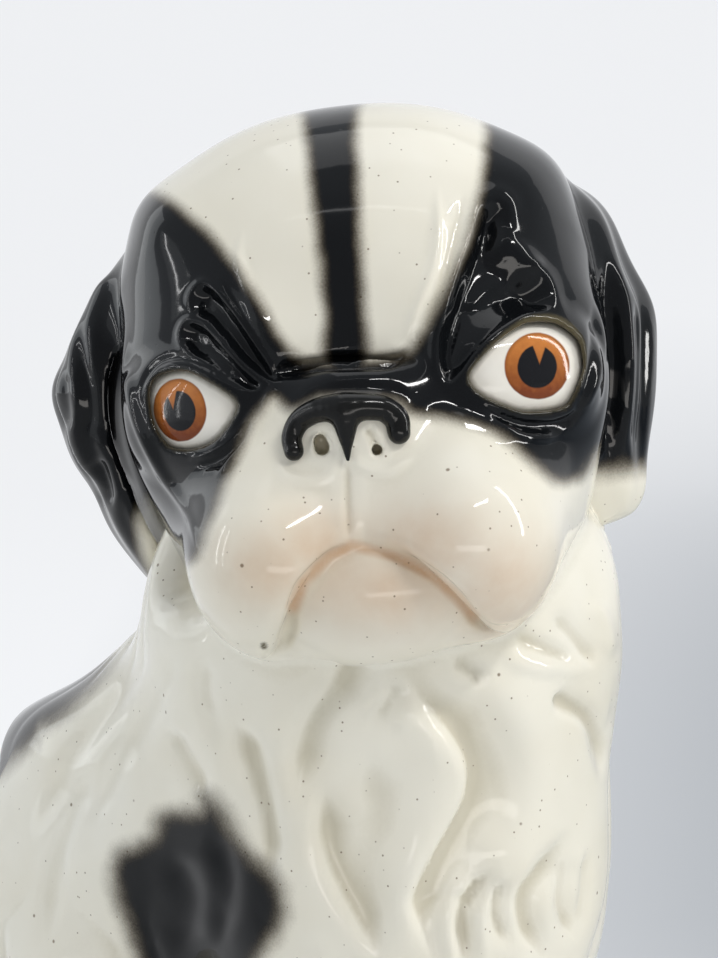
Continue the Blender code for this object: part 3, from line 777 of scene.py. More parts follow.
def glazed(name):
    """Sprayed earthenware under a clear glaze, from the paint that each piece carries."""
    finish = Finish(bpy.data.materials.new(name))
    place = finish.millimetres()
    broad = finish.noise(place, 30.0)
    fine = finish.noise(place, 1.1, 3.0)
    black = finish.painted("black")
    hollow = finish.painted("hollow")
    colour = finish.mix((0.5 + 1.6 * broad).clipped(), CREAM, WARM_CREAM)
    # Creases darken towards a greenish tint: partly glaze lying thick there, partly painted shade
    pooled_and_shade = ((hollow - 0.06) * 0.8 + 0.2 * fine).clipped() * 0.5
    colour = finish.mix(pooled_and_shade, colour, POOLED_GLAZE_AND_SHADE)
    pink = (finish.painted("pink") * (0.62 + 0.5 * finish.noise(place, 6.0, 4.0))).clipped()
    colour = finish.mix(pink, colour, PINK)
    small, large = [finish.specks(place, *pinhole) for pinhole in PINHOLES]
    specks = small + large
    colour = finish.mix((specks * 0.8).clipped(), colour, SPECK)
    edge = black + 1.6 * finish.noise(place, 9.0) + 1.0 * finish.noise(place, 0.5, 3.0)
    sprayed = ((SPRAY_WIDTH / 2 - edge) / SPRAY_WIDTH).clipped()
    sprayed = sprayed * sprayed * (3.0 - 2.0 * sprayed)
    colour = finish.mix(sprayed ** 0.8, colour, BROWN)
    colour = finish.mix(sprayed ** 2.0, colour, BLACK)
    rim = (finish.painted("rim") * (1.0 + 1.2 * fine)).clipped()
    colour = finish.mix(rim, colour, OLIVE_RIM_AND_LID_SHADE)
    bare = finish.painted("bare")
    colour = finish.mix(bare, colour, BISCUIT)
    uneven = 0.10 * finish.noise(place, 14.0) * finish.noise(place, 3.0)
    roughness = GLAZE_ROUGHNESS + uneven + BARE_ROUGHNESS * bare
    swell = finish.noise(place, 11.0, 1.0) * 0.16 + finish.noise(place, 2.6, 1.0) * 0.012 - specks * 0.03
    finish.set(Base_Color=colour, Roughness=roughness, Normal=finish.bump(swell, 0.5), IOR=GLAZE_IOR)
    return finish.owner


head = clay_piece("head_casting", head_places, head_quads, head_normals, head_paint(head_places))
head.data.materials.append(glazed("head_glaze"))
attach(head, "root")
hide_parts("head")

# Eyes
# Two bulging eyeballs of white clay, set behind the lids before the head was closed.
# Iris and pupil are painted by hand under the glaze: an orange ring that darkens downwards, and a black pupil
# with a notch left open at its top.
IRISES = (
    {"middle": (180.5, 410.0), "radii": (26.3, 31.5), "lean": -8.0, "notch": -0.22},
    {"middle": (536.5, 366.0), "radii": (32.5, 33.5), "lean": 0.0, "notch": 0.06},
)
PUPIL_SHARE = 0.64
EYE_SEGMENTS = 96
EYE_RINGS = 64
CORNEA_SWELL = 0.5
EYE_WHITE = (0.86, 0.83, 0.76, 1)
EYE_SHADE = (0.80, 0.76, 0.68, 1)
IRIS_TOP = (0.56, 0.20, 0.045, 1)
IRIS_LOW = (0.19, 0.045, 0.014, 1)
IRIS_RIM = (0.16, 0.045, 0.012, 1)
PUPIL = (0.008, 0.008, 0.010, 1)
PAINT_EDGE = 24.0


def eye_material():
    finish = Finish(bpy.data.materials.new("eye_glaze"))
    place = finish.millimetres()
    spot = finish.painted("iris", output="Vector")
    across, up, notch = [
        finish.node("ShaderNodeSeparateXYZ", None, {"Vector": spot}, output=axis) for axis in "XYZ"
    ]
    wobble = 0.05 * finish.noise(place, 5.0)
    reach = (across * across + up * up) ** 0.5 + wobble
    brushed = finish.noise(place, 1.6, 3.0)
    shade = (0.5 + 2.0 * finish.noise(place, 8.0)).clipped()
    white = finish.mix(shade, EYE_WHITE, EYE_SHADE)
    low = (0.5 - 0.62 * up + 0.5 * brushed).clipped()
    ring = finish.mix(low, IRIS_TOP, IRIS_LOW)
    rim = ((reach - 0.88) * 9.0).clipped() * 0.55
    ring = finish.mix(rim, ring, IRIS_RIM)
    colour = finish.mix(((1.0 - reach) * PAINT_EDGE + 0.5).clipped(), white, ring)
    pupil_reach = (across * across * 1.12 + (up + 0.03) * (up + 0.03)) ** 0.5 + wobble
    notch_side = ((across - notch) * (across - notch)) ** 0.5 - (up - 0.06) * 0.36
    pupil = ((PUPIL_SHARE - pupil_reach) * PAINT_EDGE + 0.5).clipped()
    pupil = pupil * (notch_side * PAINT_EDGE + 0.5).clipped()
    colour = finish.mix(pupil, colour, PUPIL)
    # Painted shade: the white darkens to olive where the lids close over the eyeball
    shaded = ((finish.painted("gap") + 1.3) * 0.7 + 0.4 * brushed).clipped() * 0.75
    colour = finish.mix(shaded, colour, OLIVE_RIM_AND_LID_SHADE)
    roughness = 0.06 + 0.10 * pupil * (0.5 + brushed)
    normal = finish.bump(0.05 * brushed, 0.3)
    finish.set(Base_Color=colour, Roughness=roughness, Normal=normal, IOR=GLAZE_IOR)
    return finish.owner


eye_glaze = eye_material()
for side, sign, iris in (("right", -1, IRISES[0]), ("left", 1, IRISES[1])):
    ball = bmesh.new()
    bmesh.ops.create_uvsphere(ball, u_segments=EYE_SEGMENTS, v_segments=EYE_RINGS, radius=0.5)
    mesh = bpy.data.meshes.new(f"eyeball_{side}")
    ball.to_mesh(mesh)
    ball.free()
    round_places = np.array([corner.co for corner in mesh.vertices])
    fullness = (np.abs(2 * round_places) ** EYE_FULLNESS).sum(axis=1) ** (1 / EYE_FULLNESS)
    round_places /= fullness[:, None]
    local = round_places[:, [0, 2, 1]] * EYE_SIZE @ EYE_AXES.T + EYE_MIDDLE
    places = HEAD_ORIGIN + (local * (sign, 1, 1)) @ HEAD_AXES.T
    pixels = seen(places)[0]
    lean = math.radians(iris["lean"])
    turn = np.array([[math.cos(lean), -math.sin(lean)], [math.sin(lean), math.cos(lean)]])
    spots = ((pixels - iris["middle"]) @ turn) / iris["radii"] * (1, -1)
    outward = HEAD_AXES @ (EYE_AXES[:, 1] * (sign, 1, 1))
    front = (places - HEAD_ORIGIN - HEAD_AXES @ (EYE_MIDDLE * (sign, 1, 1))) @ outward > 0
    spots = np.where(front[:, None], spots, FAR)
    swell = CORNEA_SWELL * np.exp(-(spots**2).sum(axis=1))
    places += outward * swell[:, None]
    mesh.vertices.foreach_set("co", (places * MM).astype(np.float32).ravel())
    if sign < 0:
        mesh.flip_normals()
    mesh.shade_smooth()
    marks = np.column_stack([spots, np.full(len(spots), iris["notch"])])
    marks = marks.astype(np.float32).ravel()
    mesh.attributes.new("iris", "FLOAT_VECTOR", "POINT").data.foreach_set("vector", marks)
    gap = eye_opening(places, np.zeros(len(places))).astype(np.float32)
    mesh.attributes.new("gap", "FLOAT", "POINT").data.foreach_set("value", gap)
    eye = shown(f"eyeball_{side}", mesh)
    mesh.materials.append(eye_glaze)
    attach(eye, "root")
    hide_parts(f"eye_{side}")

# Nose
# A black roll of clay that arches over both nostrils, with a wedge down to the parting of the lips.
# It is rolled and pressed on the muzzle by hand, and its paint is thinner on the glaze, so it shines less.
NOSE_ARCH = [
    (294, 451, 10), (292, 437, 10.5), (300, 421, 11.5), (317, 411, 12.5), (338, 408, 14.5), (362, 407, 14),
    (383, 409, 13), (396, 419, 13), (399, 433, 11.5),
]
NOSE_WEDGE = [(345, 412, 15), (346, 428, 11), (347, 446, 5.5), (348, 462, 1.2)]
NOSE_PROUD = 1.2
NOSE_FILLET = 2.0
NOSE_REACH = 8.0
NOSE_GRAIN = 0.6
NOSE_BLACK = (0.004, 0.004, 0.004, 1)
NOSE_WORN = (0.010, 0.010, 0.009, 1)
NOSE_ROUGHNESS = 0.15


def rolled(path):
    places = []
    widths = []
    for across, down, radius in curve(path):
        place = touched(bare_head, (across, down))
        scale = seen(place[None])[1][0] / FOCAL_PIXELS
        places.append(place + VIEW_BACK * NOSE_PROUD)
        widths.append(2 * radius * scale)
    return places, widths


nose_arch = rolled(NOSE_ARCH)
nose_wedge = rolled(NOSE_WEDGE)


def nose_field(points):
    return blend(coil(points, *nose_arch, TINY), coil(points, *nose_wedge, TINY), NOSE_FILLET)


def nose_material():
    finish = Finish(bpy.data.materials.new("nose_glaze"))
    place = finish.millimetres()
    worn = finish.noise(place, 3.0, 4.0)
    colour = finish.mix((0.4 + worn).clipped(), NOSE_BLACK, NOSE_WORN)
    swell = finish.noise(place, 1.2, 3.0) * 0.06 + finish.noise(place, 5.0) * 0.1
    roughness = NOSE_ROUGHNESS + 0.2 * worn
    finish.set(Base_Color=colour, Roughness=roughness, Normal=finish.bump(swell, 0.5), IOR=GLAZE_IOR)
    return finish.owner


nose_box = np.array(nose_arch[0] + nose_wedge[0])
nose_low = nose_box.min(axis=0) - NOSE_REACH
nose_high = nose_box.max(axis=0) + NOSE_REACH
nose_skin = skin(nose_field, nose_low, nose_high, NOSE_GRAIN)
nose = clay_piece("nose_roll", *nose_skin, {})
nose.data.materials.append(nose_material())
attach(nose, "root")
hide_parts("nose")

# Ears
# Two hanging flaps with long folds, pressed in moulds and luted to the skull under its crown.
# They are sprayed black, and the tips stay cream.
EAR_LENGTH = 102.0
EAR_WIDTH = 54.0
EAR_THICKNESS = 8.0
EAR_RISE = 40.0
EAR_SETBACK = 12.5
EAR_CUP = 12.0
EAR_FOLD = 1.4
EAR_FOLDS = 2.5
EAR_ROOT = 20.0
EAR_BEND = 0.6
EAR_FLARES = {"left": 8.0, "right": 19.0}
EAR_FILLET = 5.0
EAR_GRAIN = 0.8
EAR_OUT = 62.0
EAR_DROP = 10.0
EAR_REACH = 64.0
EAR_SKIRT = 3.0
EAR_CREAM_DROPS = {"left": -45.0, "right": -70.0}
EAR_FADE = 0.6
EAR_SMOOTHING = 5
EAR_BED = 1.5
EAR_STROKES = [
    # Folds of the dog's right ear
    ([(112, 262), (97, 300), (91, 340), (95, 392)], -1.4, 8),
    ([(92, 290), (77, 336), (76, 376), (79, 410), (76, 441), (90, 474), (112, 512)], -1.4, 8),
    ([(84, 320), (84, 370), (88, 410), (86, 440)], 1.2, 8),
    ([(66, 368), (64, 400), (72, 432)], 1.0, 8),
    ([(93, 430), (108, 452), (118, 486), (116, 522)], -1.2, 7),
    ([(94, 456), (103, 480), (111, 510)], 1.8, 8),
    ([(121, 466), (131, 503), (145, 540), (150, 572)], -1.2, 7),
    # Slot behind the face and folds of the dog's left ear
    ([(604, 250), (613, 310), (616, 360), (613, 410), (606, 480)], 3.6, 8),
    ([(612, 250), (625, 300), (630, 360), (627, 410), (620, 470)], -1.2, 5),
    ([(636, 290), (641, 340), (640, 400), (632, 470)], 1.2, 5),
    ([(648, 300), (651, 350), (646, 420), (640, 490)], -0.6, 4),
]
EAR_RIGHT_BLACK = [
    (330, 120), (90, 150), (10, 390), (60, 490), (105, 570), (138, 610), (150, 582), (139, 548), (137, 518),
    (150, 494), (176, 488), (330, 460), (330, 300),
]


def ear_sheet(points, side):
    """Distances outward from the middle of a flap and beyond its rim, in millimetres.

    The flap swings out from its root, hangs, and comes in again, cupped and folded across.
    """
    local = in_head(points) * ((1 if side == "left" else -1), 1, 1)
    x, y, z = local.T
    t = np.clip((EAR_RISE - z) / EAR_LENGTH, 0, 1) ** 0.8
    swing = np.sin(math.pi / 2 * t / EAR_BEND)
    middle_x = SKULL_WIDTH / 2 - EAR_ROOT + (EAR_FLARES[side] + EAR_ROOT) * swing
    half_width = EAR_WIDTH / 2 * np.sqrt(np.maximum(np.sin(math.pi * (0.12 + 0.85 * t)), 0.02))
    s = (y - EAR_SETBACK) / half_width
    fold = EAR_FOLD * np.sin(math.pi * t) * np.sin(EAR_FOLDS * math.pi * s + 2 * t)
    sheet_x = middle_x - EAR_CUP * np.minimum(s**2, 1.5) * half_width / (EAR_WIDTH / 2) + fold
    ends = np.maximum(EAR_RISE - EAR_LENGTH - z, z - EAR_RISE)
    return x - sheet_x, np.maximum((np.abs(s) - 1) * half_width, ends)


def ear_field(points, side):
    out, beyond = ear_sheet(points, side)
    rim = np.maximum(beyond + EAR_THICKNESS / 2, 0)
    return np.hypot(out, rim) - EAR_THICKNESS / 2


# The flaps' outlines, as the photograph shows them
EAR_NUDGES = (
    ((55, 391), (-9, 0), 30),
    ((97, 490), (8, 0), 34),
    ((152, 580), (4, 5), 30),
    ((597, 203), (16, -8), 55),
    ((656, 302), (8, 0), 42),
    ((646, 500), (13, -4), 36),
    ((612, 520), (0, -10), 30),
)

for side, sign in (("left", 1), ("right", -1)):

    def flap(points):
        return ear_field(nudged(points, EAR_NUDGES), side)

    def ear_on_head(points):
        return seated(flap(points), bare_head(points), EAR_FILLET)

    ear_middle = HEAD_ORIGIN + HEAD_AXES @ np.array([sign * EAR_OUT, EAR_SETBACK, -EAR_DROP])
    places, quads, normals = skin(ear_on_head, ear_middle - EAR_REACH, ear_middle + EAR_REACH, EAR_GRAIN)
    places -= normals * stroked(places, normals, EAR_STROKES)[:, None]
    places = averaged(places, quads, EAR_SMOOTHING)
    black = EAR_FADE * (EAR_CREAM_DROPS[side] - in_head(places)[:, 2])
    if side == "right":
        black = np.maximum(black, patched(places, (EAR_RIGHT_BLACK,), VIEW_DISTANCE + FAR))
    black = np.where(flap(places) < EAR_SKIRT, black, np.maximum(head_black(places), black))
    ear = clay_piece(f"ear_flap_{side}", places, quads, normals, {"black": black})
    ear.data.materials.append(glazed(f"ear_{side}_glaze"))
    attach(ear, "root")
    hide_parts(f"ear_{side}")

# Body
# A hollow slip casting of rump, haunches, back, chest and mane, with the long coat modelled in locks.
# Its seat is wiped bare of glaze and flat, with a vent hole for the firing.
CHEST_SIZE = (116.0, 104.0, 172.0)
CHEST_MIDDLE = (0.0, -88.0, 130.0)
MANE_SIZE = (132.0, 124.0, 116.0)
MANE_MIDDLE = (0.0, -79.0, 195.0)
RUMP_SIZE = (136.0, 132.0, 140.0)
RUMP_MIDDLE = (0.0, 0.0, 50.0)
HAUNCH_SIZE = (56.0, 108.0, 104.0)
HAUNCH_MIDDLE = (52.0, -18.0, 52.0)
BACK_PLACES = ((0.0, -70.0, 166.0), (0.0, 0.0, 98.0))
BACK_WIDTHS = (120.0, 144.0)
VENT_PLACES = ((0.0, 24.0, -20.0), (0.0, 24.0, 40.0))
VENT_WIDTH = 20.0
NECK_FILLET = 2.5
BODY_GRAIN = 1.7
LOCK_DEPTH = 1.5
LOCK_PAIRS = 11
SEAT_FADE = 8.0
VENT_EDGE = 2.0

# The outline of the back, as the photograph shows it
BODY_NUDGES = (((20, 722), (-9, -26), 62),)


def body_clay(points):
    half = mirrored(nudged(points, BODY_NUDGES))
    clay = lobe(half, RUMP_MIDDLE, RUMP_SIZE, power=PLUMPNESS)
    clay = blend(clay, coil(half, BACK_PLACES, BACK_WIDTHS, SOFT_FILLET), SOFT_FILLET)
    clay = blend(clay, lobe(half, HAUNCH_MIDDLE, HAUNCH_SIZE), LOBE_FILLET)
    clay = blend(clay, lobe(half, CHEST_MIDDLE, CHEST_SIZE), SOFT_FILLET)
    return blend(clay, lobe(half, MANE_MIDDLE, MANE_SIZE), SOFT_FILLET)


# The mane keeps clear of the gap between cheek and ear
EAR_GAP = ((160, 530), (172, 555), (188, 585))
EAR_GAP_WIDTHS = (22.0, 22.0, 14.0)
ear_gap = [touched(body_clay, pixel) for pixel in EAR_GAP]


def body_field(points):
    clay = seated(body_clay(points), bare_head(points), NECK_FILLET)
    for side in ("left", "right"):
        out, beyond = ear_sheet(points, side)
        clay = carve(clay, np.maximum(EAR_BED - out, beyond), CRISP_FILLET)
    clay = carve(clay, coil(points, ear_gap, EAR_GAP_WIDTHS, 1.0), LOBE_FILLET)
    clay = np.maximum(clay, -points[:, 2])
    return carve(clay, coil(points, VENT_PLACES, (VENT_WIDTH, VENT_WIDTH), 1.0), VENT_EDGE)


def locks(places, normals):
    """Wavy locks combed down and back over the sides that the photograph does not show."""
    x, y, z = places.T
    turn = np.arctan2(y + 30, x)
    curl = 1.3 * np.sin(z / 17 + 2.2 * np.sin(turn * 3)) + 0.6 * np.sin(z / 7.3 + turn * 5)
    ridge = np.abs(np.sin(turn * LOCK_PAIRS + curl))
    upright = 1 - np.abs(normals[:, 2]) ** 3
    return LOCK_DEPTH * (1 - ridge) ** 1.6 * np.clip(z / 14, 0, 1) * upright


CHEST_STROKES = [
    # Valleys between the locks of the chest
    ([(398, 655), (426, 699), (458, 733), (475, 767), (471, 803), (447, 845), (429, 877), (420, 903),
      (426, 929), (448, 985)], 4.0, (9, 40)),
    ([(370, 640), (335, 688), (314, 719), (302, 751), (299, 810)], 3.0, (12, 30)),
    ([(326, 775), (325, 824), (332, 861), (348, 898), (366, 929), (392, 980)], 3.0, (8, 30)),
    ([(366, 740), (377, 819), (371, 869), (382, 960)], 1.8, 24),
    ([(232, 715), (250, 770), (266, 825), (272, 890)], 3.0, (9, 18)),
    ([(552, 694), (562, 701), (589, 717), (602, 743), (600, 785)], 2.6, 10),
    ([(574, 824), (544, 871), (528, 897), (531, 929), (552, 970)], 3.2, (11, 20)),
    ([(498, 864), (473, 898), (464, 918), (470, 980)], 2.8, 9),
    ([(506, 874), (497, 911), (512, 952)], 2.2, 8),
    ([(576, 850), (563, 895), (578, 945)], 2.2, 8),
    ([(588, 845), (585, 890), (580, 935)], 1.2, 6),
    ([(452, 658), (488, 684)], 1.6, 9),
    ([(402, 684), (374, 722)], 0.9, 7),
    # Locks that stand out beside them
    ([(392, 680), (424, 740), (430, 790), (404, 860), (388, 910), (396, 990)], -1.8, 30),
    ([(480, 670), (520, 720), (536, 790), (512, 850), (480, 900)], -2.2, 34),
    ([(268, 680), (282, 760), (288, 850), (318, 930), (350, 990)], -1.6, 22),
    ([(380, 684), (412, 712), (440, 742), (457, 770), (453, 802), (430, 844), (411, 878), (402, 905),
      (424, 985)], -1.2, (24, 10)),
    ([(344, 664), (318, 692), (298, 722), (284, 770)], -1.0, 13),
    ([(315, 785), (309, 820), (311, 850), (322, 882), (342, 918), (372, 975)], -1.6, (15, 9)),
    ([(488, 868), (456, 898), (447, 930), (456, 980)], -1.2, 9),
    ([(500, 872), (484, 905), (480, 930), (488, 972)], -1.2, 7),
    ([(592, 842), (560, 882), (545, 908), (550, 950)], -1.1, 9),
    ([(388, 684), (364, 720)], -0.7, 7),
    ([(414, 702), (396, 730)], -0.7, 7),
    # Folds of the mane beside the chin
    ([(500, 650), (522, 664), (560, 668), (600, 672)], -1.2, 7),
    ([(512, 634), (545, 648), (580, 664)], 1.6, 8),
    ([(552, 612), (576, 636), (598, 668)], 1.6, 9),
    ([(588, 596), (604, 625), (610, 660)], -1.2, 9),
    # Locks of the shoulder
    ([(166, 726), (186, 762), (208, 800)], 1.6, 9),
    ([(196, 700), (216, 750), (226, 800)], -1.0, 12),
    ([(150, 630), (120, 690), (70, 760), (30, 850)], 1.5, 13),
    ([(180, 640), (155, 700), (115, 770), (80, 850)], 1.2, 14),
    ([(205, 655), (205, 700), (222, 750)], 1.2, 10),
    ([(96, 760), (70, 810), (50, 880), (48, 950)], 1.6, 12),
    ([(168, 850), (190, 900), (176, 960)], 1.4, 16),
    ([(212, 830), (226, 880), (216, 950)], 1.4, 14),
]
SHOULDER_SPOT = [
    (152, 839), (162, 816), (198, 811), (203, 796), (221, 809), (244, 847), (269, 872), (282, 898),
    (279, 928), (259, 956), (250, 1010), (200, 1040), (145, 1010), (137, 956), (122, 915), (113, 877),
    (122, 852),
]
BACK_PATCH = [(104, 644), (76, 702), (25, 738), (0, 771), (-60, 800), (-120, 700), (-20, 600)]
SADDLE_MIDDLE = (-10.0, 42.0, 128.0)
SADDLE_SIZE = (120.0, 120.0, 120.0)
SADDLE_WANDER = 3.5
CREAM_FLANK = [
    (106, 640), (87, 678), (57, 719), (0, 770), (-80, 850), (-80, 1100), (150, 1150), (400, 1100),
    (400, 600), (200, 560),
]
BODY_FADE = 0.6
SPOT_DEPTH = VIEW_DISTANCE + 95.0
FLANK_DEPTH = VIEW_DISTANCE + 4 * FAR
# Heights from which the photograph shows the coat, and over which the combed locks give way to it
PHOTO_LOW = 90.0
PHOTO_FADE = 40.0
BARE_HEIGHT = 1.2

body_low = np.array([-100.0, -175.0, -12.0])
body_high = np.array([100.0, 100.0, 270.0])
places, quads, normals = skin(body_field, body_low, body_high, BODY_GRAIN)
in_photo = facing_photo(places, normals) * np.clip((places[:, 2] - PHOTO_LOW) / PHOTO_FADE, 0, 1)
press = stroked(places, normals, CHEST_STROKES) + locks(places, normals) * (1 - in_photo)
places -= normals * (press * np.clip(places[:, 2] / SEAT_FADE, 0, 1))[:, None]


def body_paint(places, normals):
    spots = patched(places, (SHOULDER_SPOT, BACK_PATCH), SPOT_DEPTH)
    x, y, z = places.T
    wander = SADDLE_WANDER * (np.sin(z / 13 + y / 21) + np.sin(y / 11 - x / 17 + 1.0))
    flank = -patched(places, (CREAM_FLANK,), FLANK_DEPTH)
    turned_away = FAR * (1 - facing_photo(places, normals))
    saddle = np.maximum(lobe(places, SADDLE_MIDDLE, SADDLE_SIZE) + wander, flank - turned_away)
    return {
        "black": BODY_FADE * np.minimum(spots, saddle),
        "bare": np.clip(BARE_HEIGHT - z, 0, 1),
    }


body = clay_piece("body_casting", places, quads, normals, body_paint(places, normals))
body.data.materials.append(glazed("body_glaze"))
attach(body, "root")
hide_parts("body")

# Forelegs and hind paws
# Straight front legs with their paws, and the hind paws under the haunches, cast apart and luted on.
# Three grooves part the toes of each paw. The soles are wiped bare.
LEG_X = 30.0
LEG_Y = -106.0
LEG_PLACES = ((LEG_X, -88.0, 130.0), (LEG_X, LEG_Y, 65.0), (LEG_X, LEG_Y, 28.0))
LEG_WIDTHS = (43.0, 36.0, 31.0)
FOREPAW_SIZE = (38.0, 48.0, 28.0)
FOREPAW_MIDDLE = (LEG_X, LEG_Y - 10.0, 11.0)
HIND_PAW_SIZE = (32.0, 64.0, 28.0)
HIND_PAW_MIDDLE = (62.0, -56.0, 11.0)
TOE_PITCH = 8.5
TOE_DEPTH = 3.5
TOE_WIDTH = 2.4
LUTING = 5.0
LIMB_GRAIN = 1.3


def toes(points, middle, size):
    """The grooves that part the toes of a paw, from the sole up over its front."""
    tip_y = middle[1] - size[1] / 2
    press = np.zeros(len(points))
    for step in (-1, 0, 1):
        x = middle[0] + step * TOE_PITCH
        press += groove(points, [(x, tip_y, 0), (x, tip_y + size[1] / 3, size[2])], TOE_DEPTH, TOE_WIDTH)
    return press


def foreleg_field(points):
    half = mirrored(points)
    leg = coil(half, LEG_PLACES, LEG_WIDTHS, SOFT_FILLET)
    clay = blend(leg, lobe(half, FOREPAW_MIDDLE, FOREPAW_SIZE), LOBE_FILLET)
    clay = clay + toes(half, FOREPAW_MIDDLE, FOREPAW_SIZE)
    return np.maximum(seated(clay, body_clay(points), LUTING), -points[:, 2])


def hind_paw_field(points):
    half = mirrored(points)
    clay = lobe(half, HIND_PAW_MIDDLE, HIND_PAW_SIZE) + toes(half, HIND_PAW_MIDDLE, HIND_PAW_SIZE)
    return np.maximum(seated(clay, body_clay(points), LUTING), -points[:, 2])


limb_glaze = glazed("limb_glaze")
LIMBS = (
    ("foreleg", foreleg_field, (0.5, -148.0, -6.0), (62.0, -56.0, 165.0)),
    ("hind_paw", hind_paw_field, (36.0, -100.0, -6.0), (92.0, -12.0, 40.0)),
)
for name, field, low, high in LIMBS:
    places, quads, normals = skin(field, np.array(low), np.array(high), LIMB_GRAIN)
    for side, sign in (("left", 1), ("right", -1)):
        turned = quads if sign > 0 else quads[:, ::-1]
        limb_places = places * (sign, 1, 1)
        limb_normals = normals * (sign, 1, 1)
        paint = body_paint(limb_places, limb_normals)
        limb = clay_piece(f"{name}_{side}_cast", limb_places, turned, limb_normals, paint)
        limb.data.materials.append(limb_glaze)
        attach(limb, "root")
        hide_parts(f"{name}_{side}")

# Tail
# A plume that leaves the rump low down and lies round the left haunch, modelled in long locks.
TAIL_RADIUS_X = 80.0
TAIL_RADIUS_Y = 75.5
TAIL_LENGTH = 135.0
TAIL_WIDTH = 38.0
TAIL_END_WIDTH = 21.0
TAIL_HEIGHT = 16.0
TAIL_STEPS = 14
TAIL_LOW = np.array([-30.0, -60.0, -6.0])
TAIL_HIGH = np.array([112.0, 108.0, 52.0])
TAIL_LOCKS = 5
TAIL_LOCK_DEPTH = 1.3
tail_shares = np.linspace(0, 1, TAIL_STEPS)
tail_angles = math.pi / 2 - tail_shares * TAIL_LENGTH / TAIL_RADIUS_X
tail_places = np.column_stack([
    TAIL_RADIUS_X * np.cos(tail_angles),
    TAIL_RADIUS_Y * np.sin(tail_angles),
    np.full(TAIL_STEPS, TAIL_HEIGHT),
])
tail_widths = TAIL_END_WIDTH + (TAIL_WIDTH - TAIL_END_WIDTH) * np.sin(math.pi * tail_shares)


def tail_field(points):
    clay = coil(points, tail_places, tail_widths, LOBE_FILLET)
    return np.maximum(seated(clay, body_clay(points), LUTING), -points[:, 2])


places, quads, normals = skin(tail_field, TAIL_LOW, TAIL_HIGH, LIMB_GRAIN)
turn = np.arctan2(places[:, 1], places[:, 0])
lift = places[:, 2] - TAIL_HEIGHT
reach = np.hypot(places[:, 0], places[:, 1])
comb = np.arctan2(lift, reach - TAIL_RADIUS_X) * TAIL_LOCKS + turn * 3 + 0.8 * np.sin(turn * 9)
press = TAIL_LOCK_DEPTH * (1 - np.abs(np.sin(comb))) ** 1.5 * np.clip(places[:, 2] / SEAT_FADE, 0, 1)
places -= normals * press[:, None]
tail = clay_piece("tail_plume", places, quads, normals, body_paint(places, normals))
tail.data.materials.append(limb_glaze)
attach(tail, "root")
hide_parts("tail")

# Floor and backdrop
# A pale sweep that runs from under the figure up behind it. Camera, glossy and transmission rays see it glow,
# and that glow is darkened as painted shade towards the right over the floor and in front of the figure.
SWEEP_WIDTH = 8.0
SWEEP_FRONT = 3.0
SWEEP_BACK = 1.5
SWEEP_HEIGHT = 3.0
SWEEP_BEND = 0.8
BEND_STEPS = 24
PAPER = (0.80, 0.82, 0.84, 1)
PAPER_PALE = (0.84, 0.86, 0.87, 1)
BACKDROP = (0.97, 0.98, 1.0, 1)
BACKDROP_PAINTED_SHADE = (0.10, 0.13, 0.17, 1)
FLOOR_FRONT_SHADE = (0.46, 0.48, 0.50, 1)
GLOW_SHARE = 0.8
TOWARD_VIEW = (VIEW_BACK[0], VIEW_BACK[1], 0.0)
profile = [(-SWEEP_FRONT, 0.0)]
for angle in np.linspace(0, math.pi / 2, BEND_STEPS):
    profile.append((SWEEP_BACK + SWEEP_BEND * math.sin(angle), SWEEP_BEND * (1 - math.cos(angle))))
profile.append((SWEEP_BACK + SWEEP_BEND, SWEEP_HEIGHT))
sweep_corners = []
for away, up in profile:
    for side in (-1, 1):
        place = side * SWEEP_WIDTH / 2 * VIEW_RIGHT - away * np.array(TOWARD_VIEW)
        sweep_corners.append((place[0], place[1], up))
sweep_faces = [(2 * k, 2 * k + 1, 2 * k + 3, 2 * k + 2) for k in range(len(profile) - 1)]
sweep_mesh = bpy.data.meshes.new("sweep")
sweep_mesh.from_pydata(sweep_corners, [], sweep_faces)
sweep_mesh.shade_smooth()
sweep = shown("sweep", sweep_mesh)
paper = Finish(bpy.data.materials.new("sweep_paper"))
paper_place = paper.node("ShaderNodeTexCoord", output="Object")
paper_grain = paper.node("ShaderNodeTexNoise", None, {"Vector": paper_place, "Scale": 3.0})
paper_colour = paper.mix(paper_grain, PAPER, PAPER_PALE)
paper.set(Base_Color=paper_colour, Roughness=0.9)
# Painted shade: the glow darkens on the right of the floor and in front of the figure
near_floor = (1.15 + 0.6 * paper.toward(paper_place, TOWARD_VIEW)).clipped()
dim_side = (0.25 + 1.8 * paper.toward(paper_place, VIEW_RIGHT)).clipped()
paper_light = paper.mix(dim_side * near_floor, BACKDROP, BACKDROP_PAINTED_SHADE)
before_figure = (5.0 * paper.toward(paper_place, TOWARD_VIEW)).clipped()
paper_light = paper.mix(before_figure, paper_light, FLOOR_FRONT_SHADE)
paper_glow = paper.node("ShaderNodeEmission", None, {"Color": paper_light, "Strength": 1.0})
seen_share = 0.0
for kind in ("Camera", "Glossy", "Transmission"):
    seen_share = paper.node("ShaderNodeLightPath", output=f"Is {kind} Ray") * GLOW_SHARE + seen_share
paper_mix = {"Fac": seen_share, 1: Wire(paper.shader.outputs[0]), 2: paper_glow}
paper_surface = paper.tree.nodes["Material Output"].inputs["Surface"]
paper.put(paper_surface, paper.node("ShaderNodeMixShader", None, paper_mix))
sweep_mesh.materials.append(paper.owner)

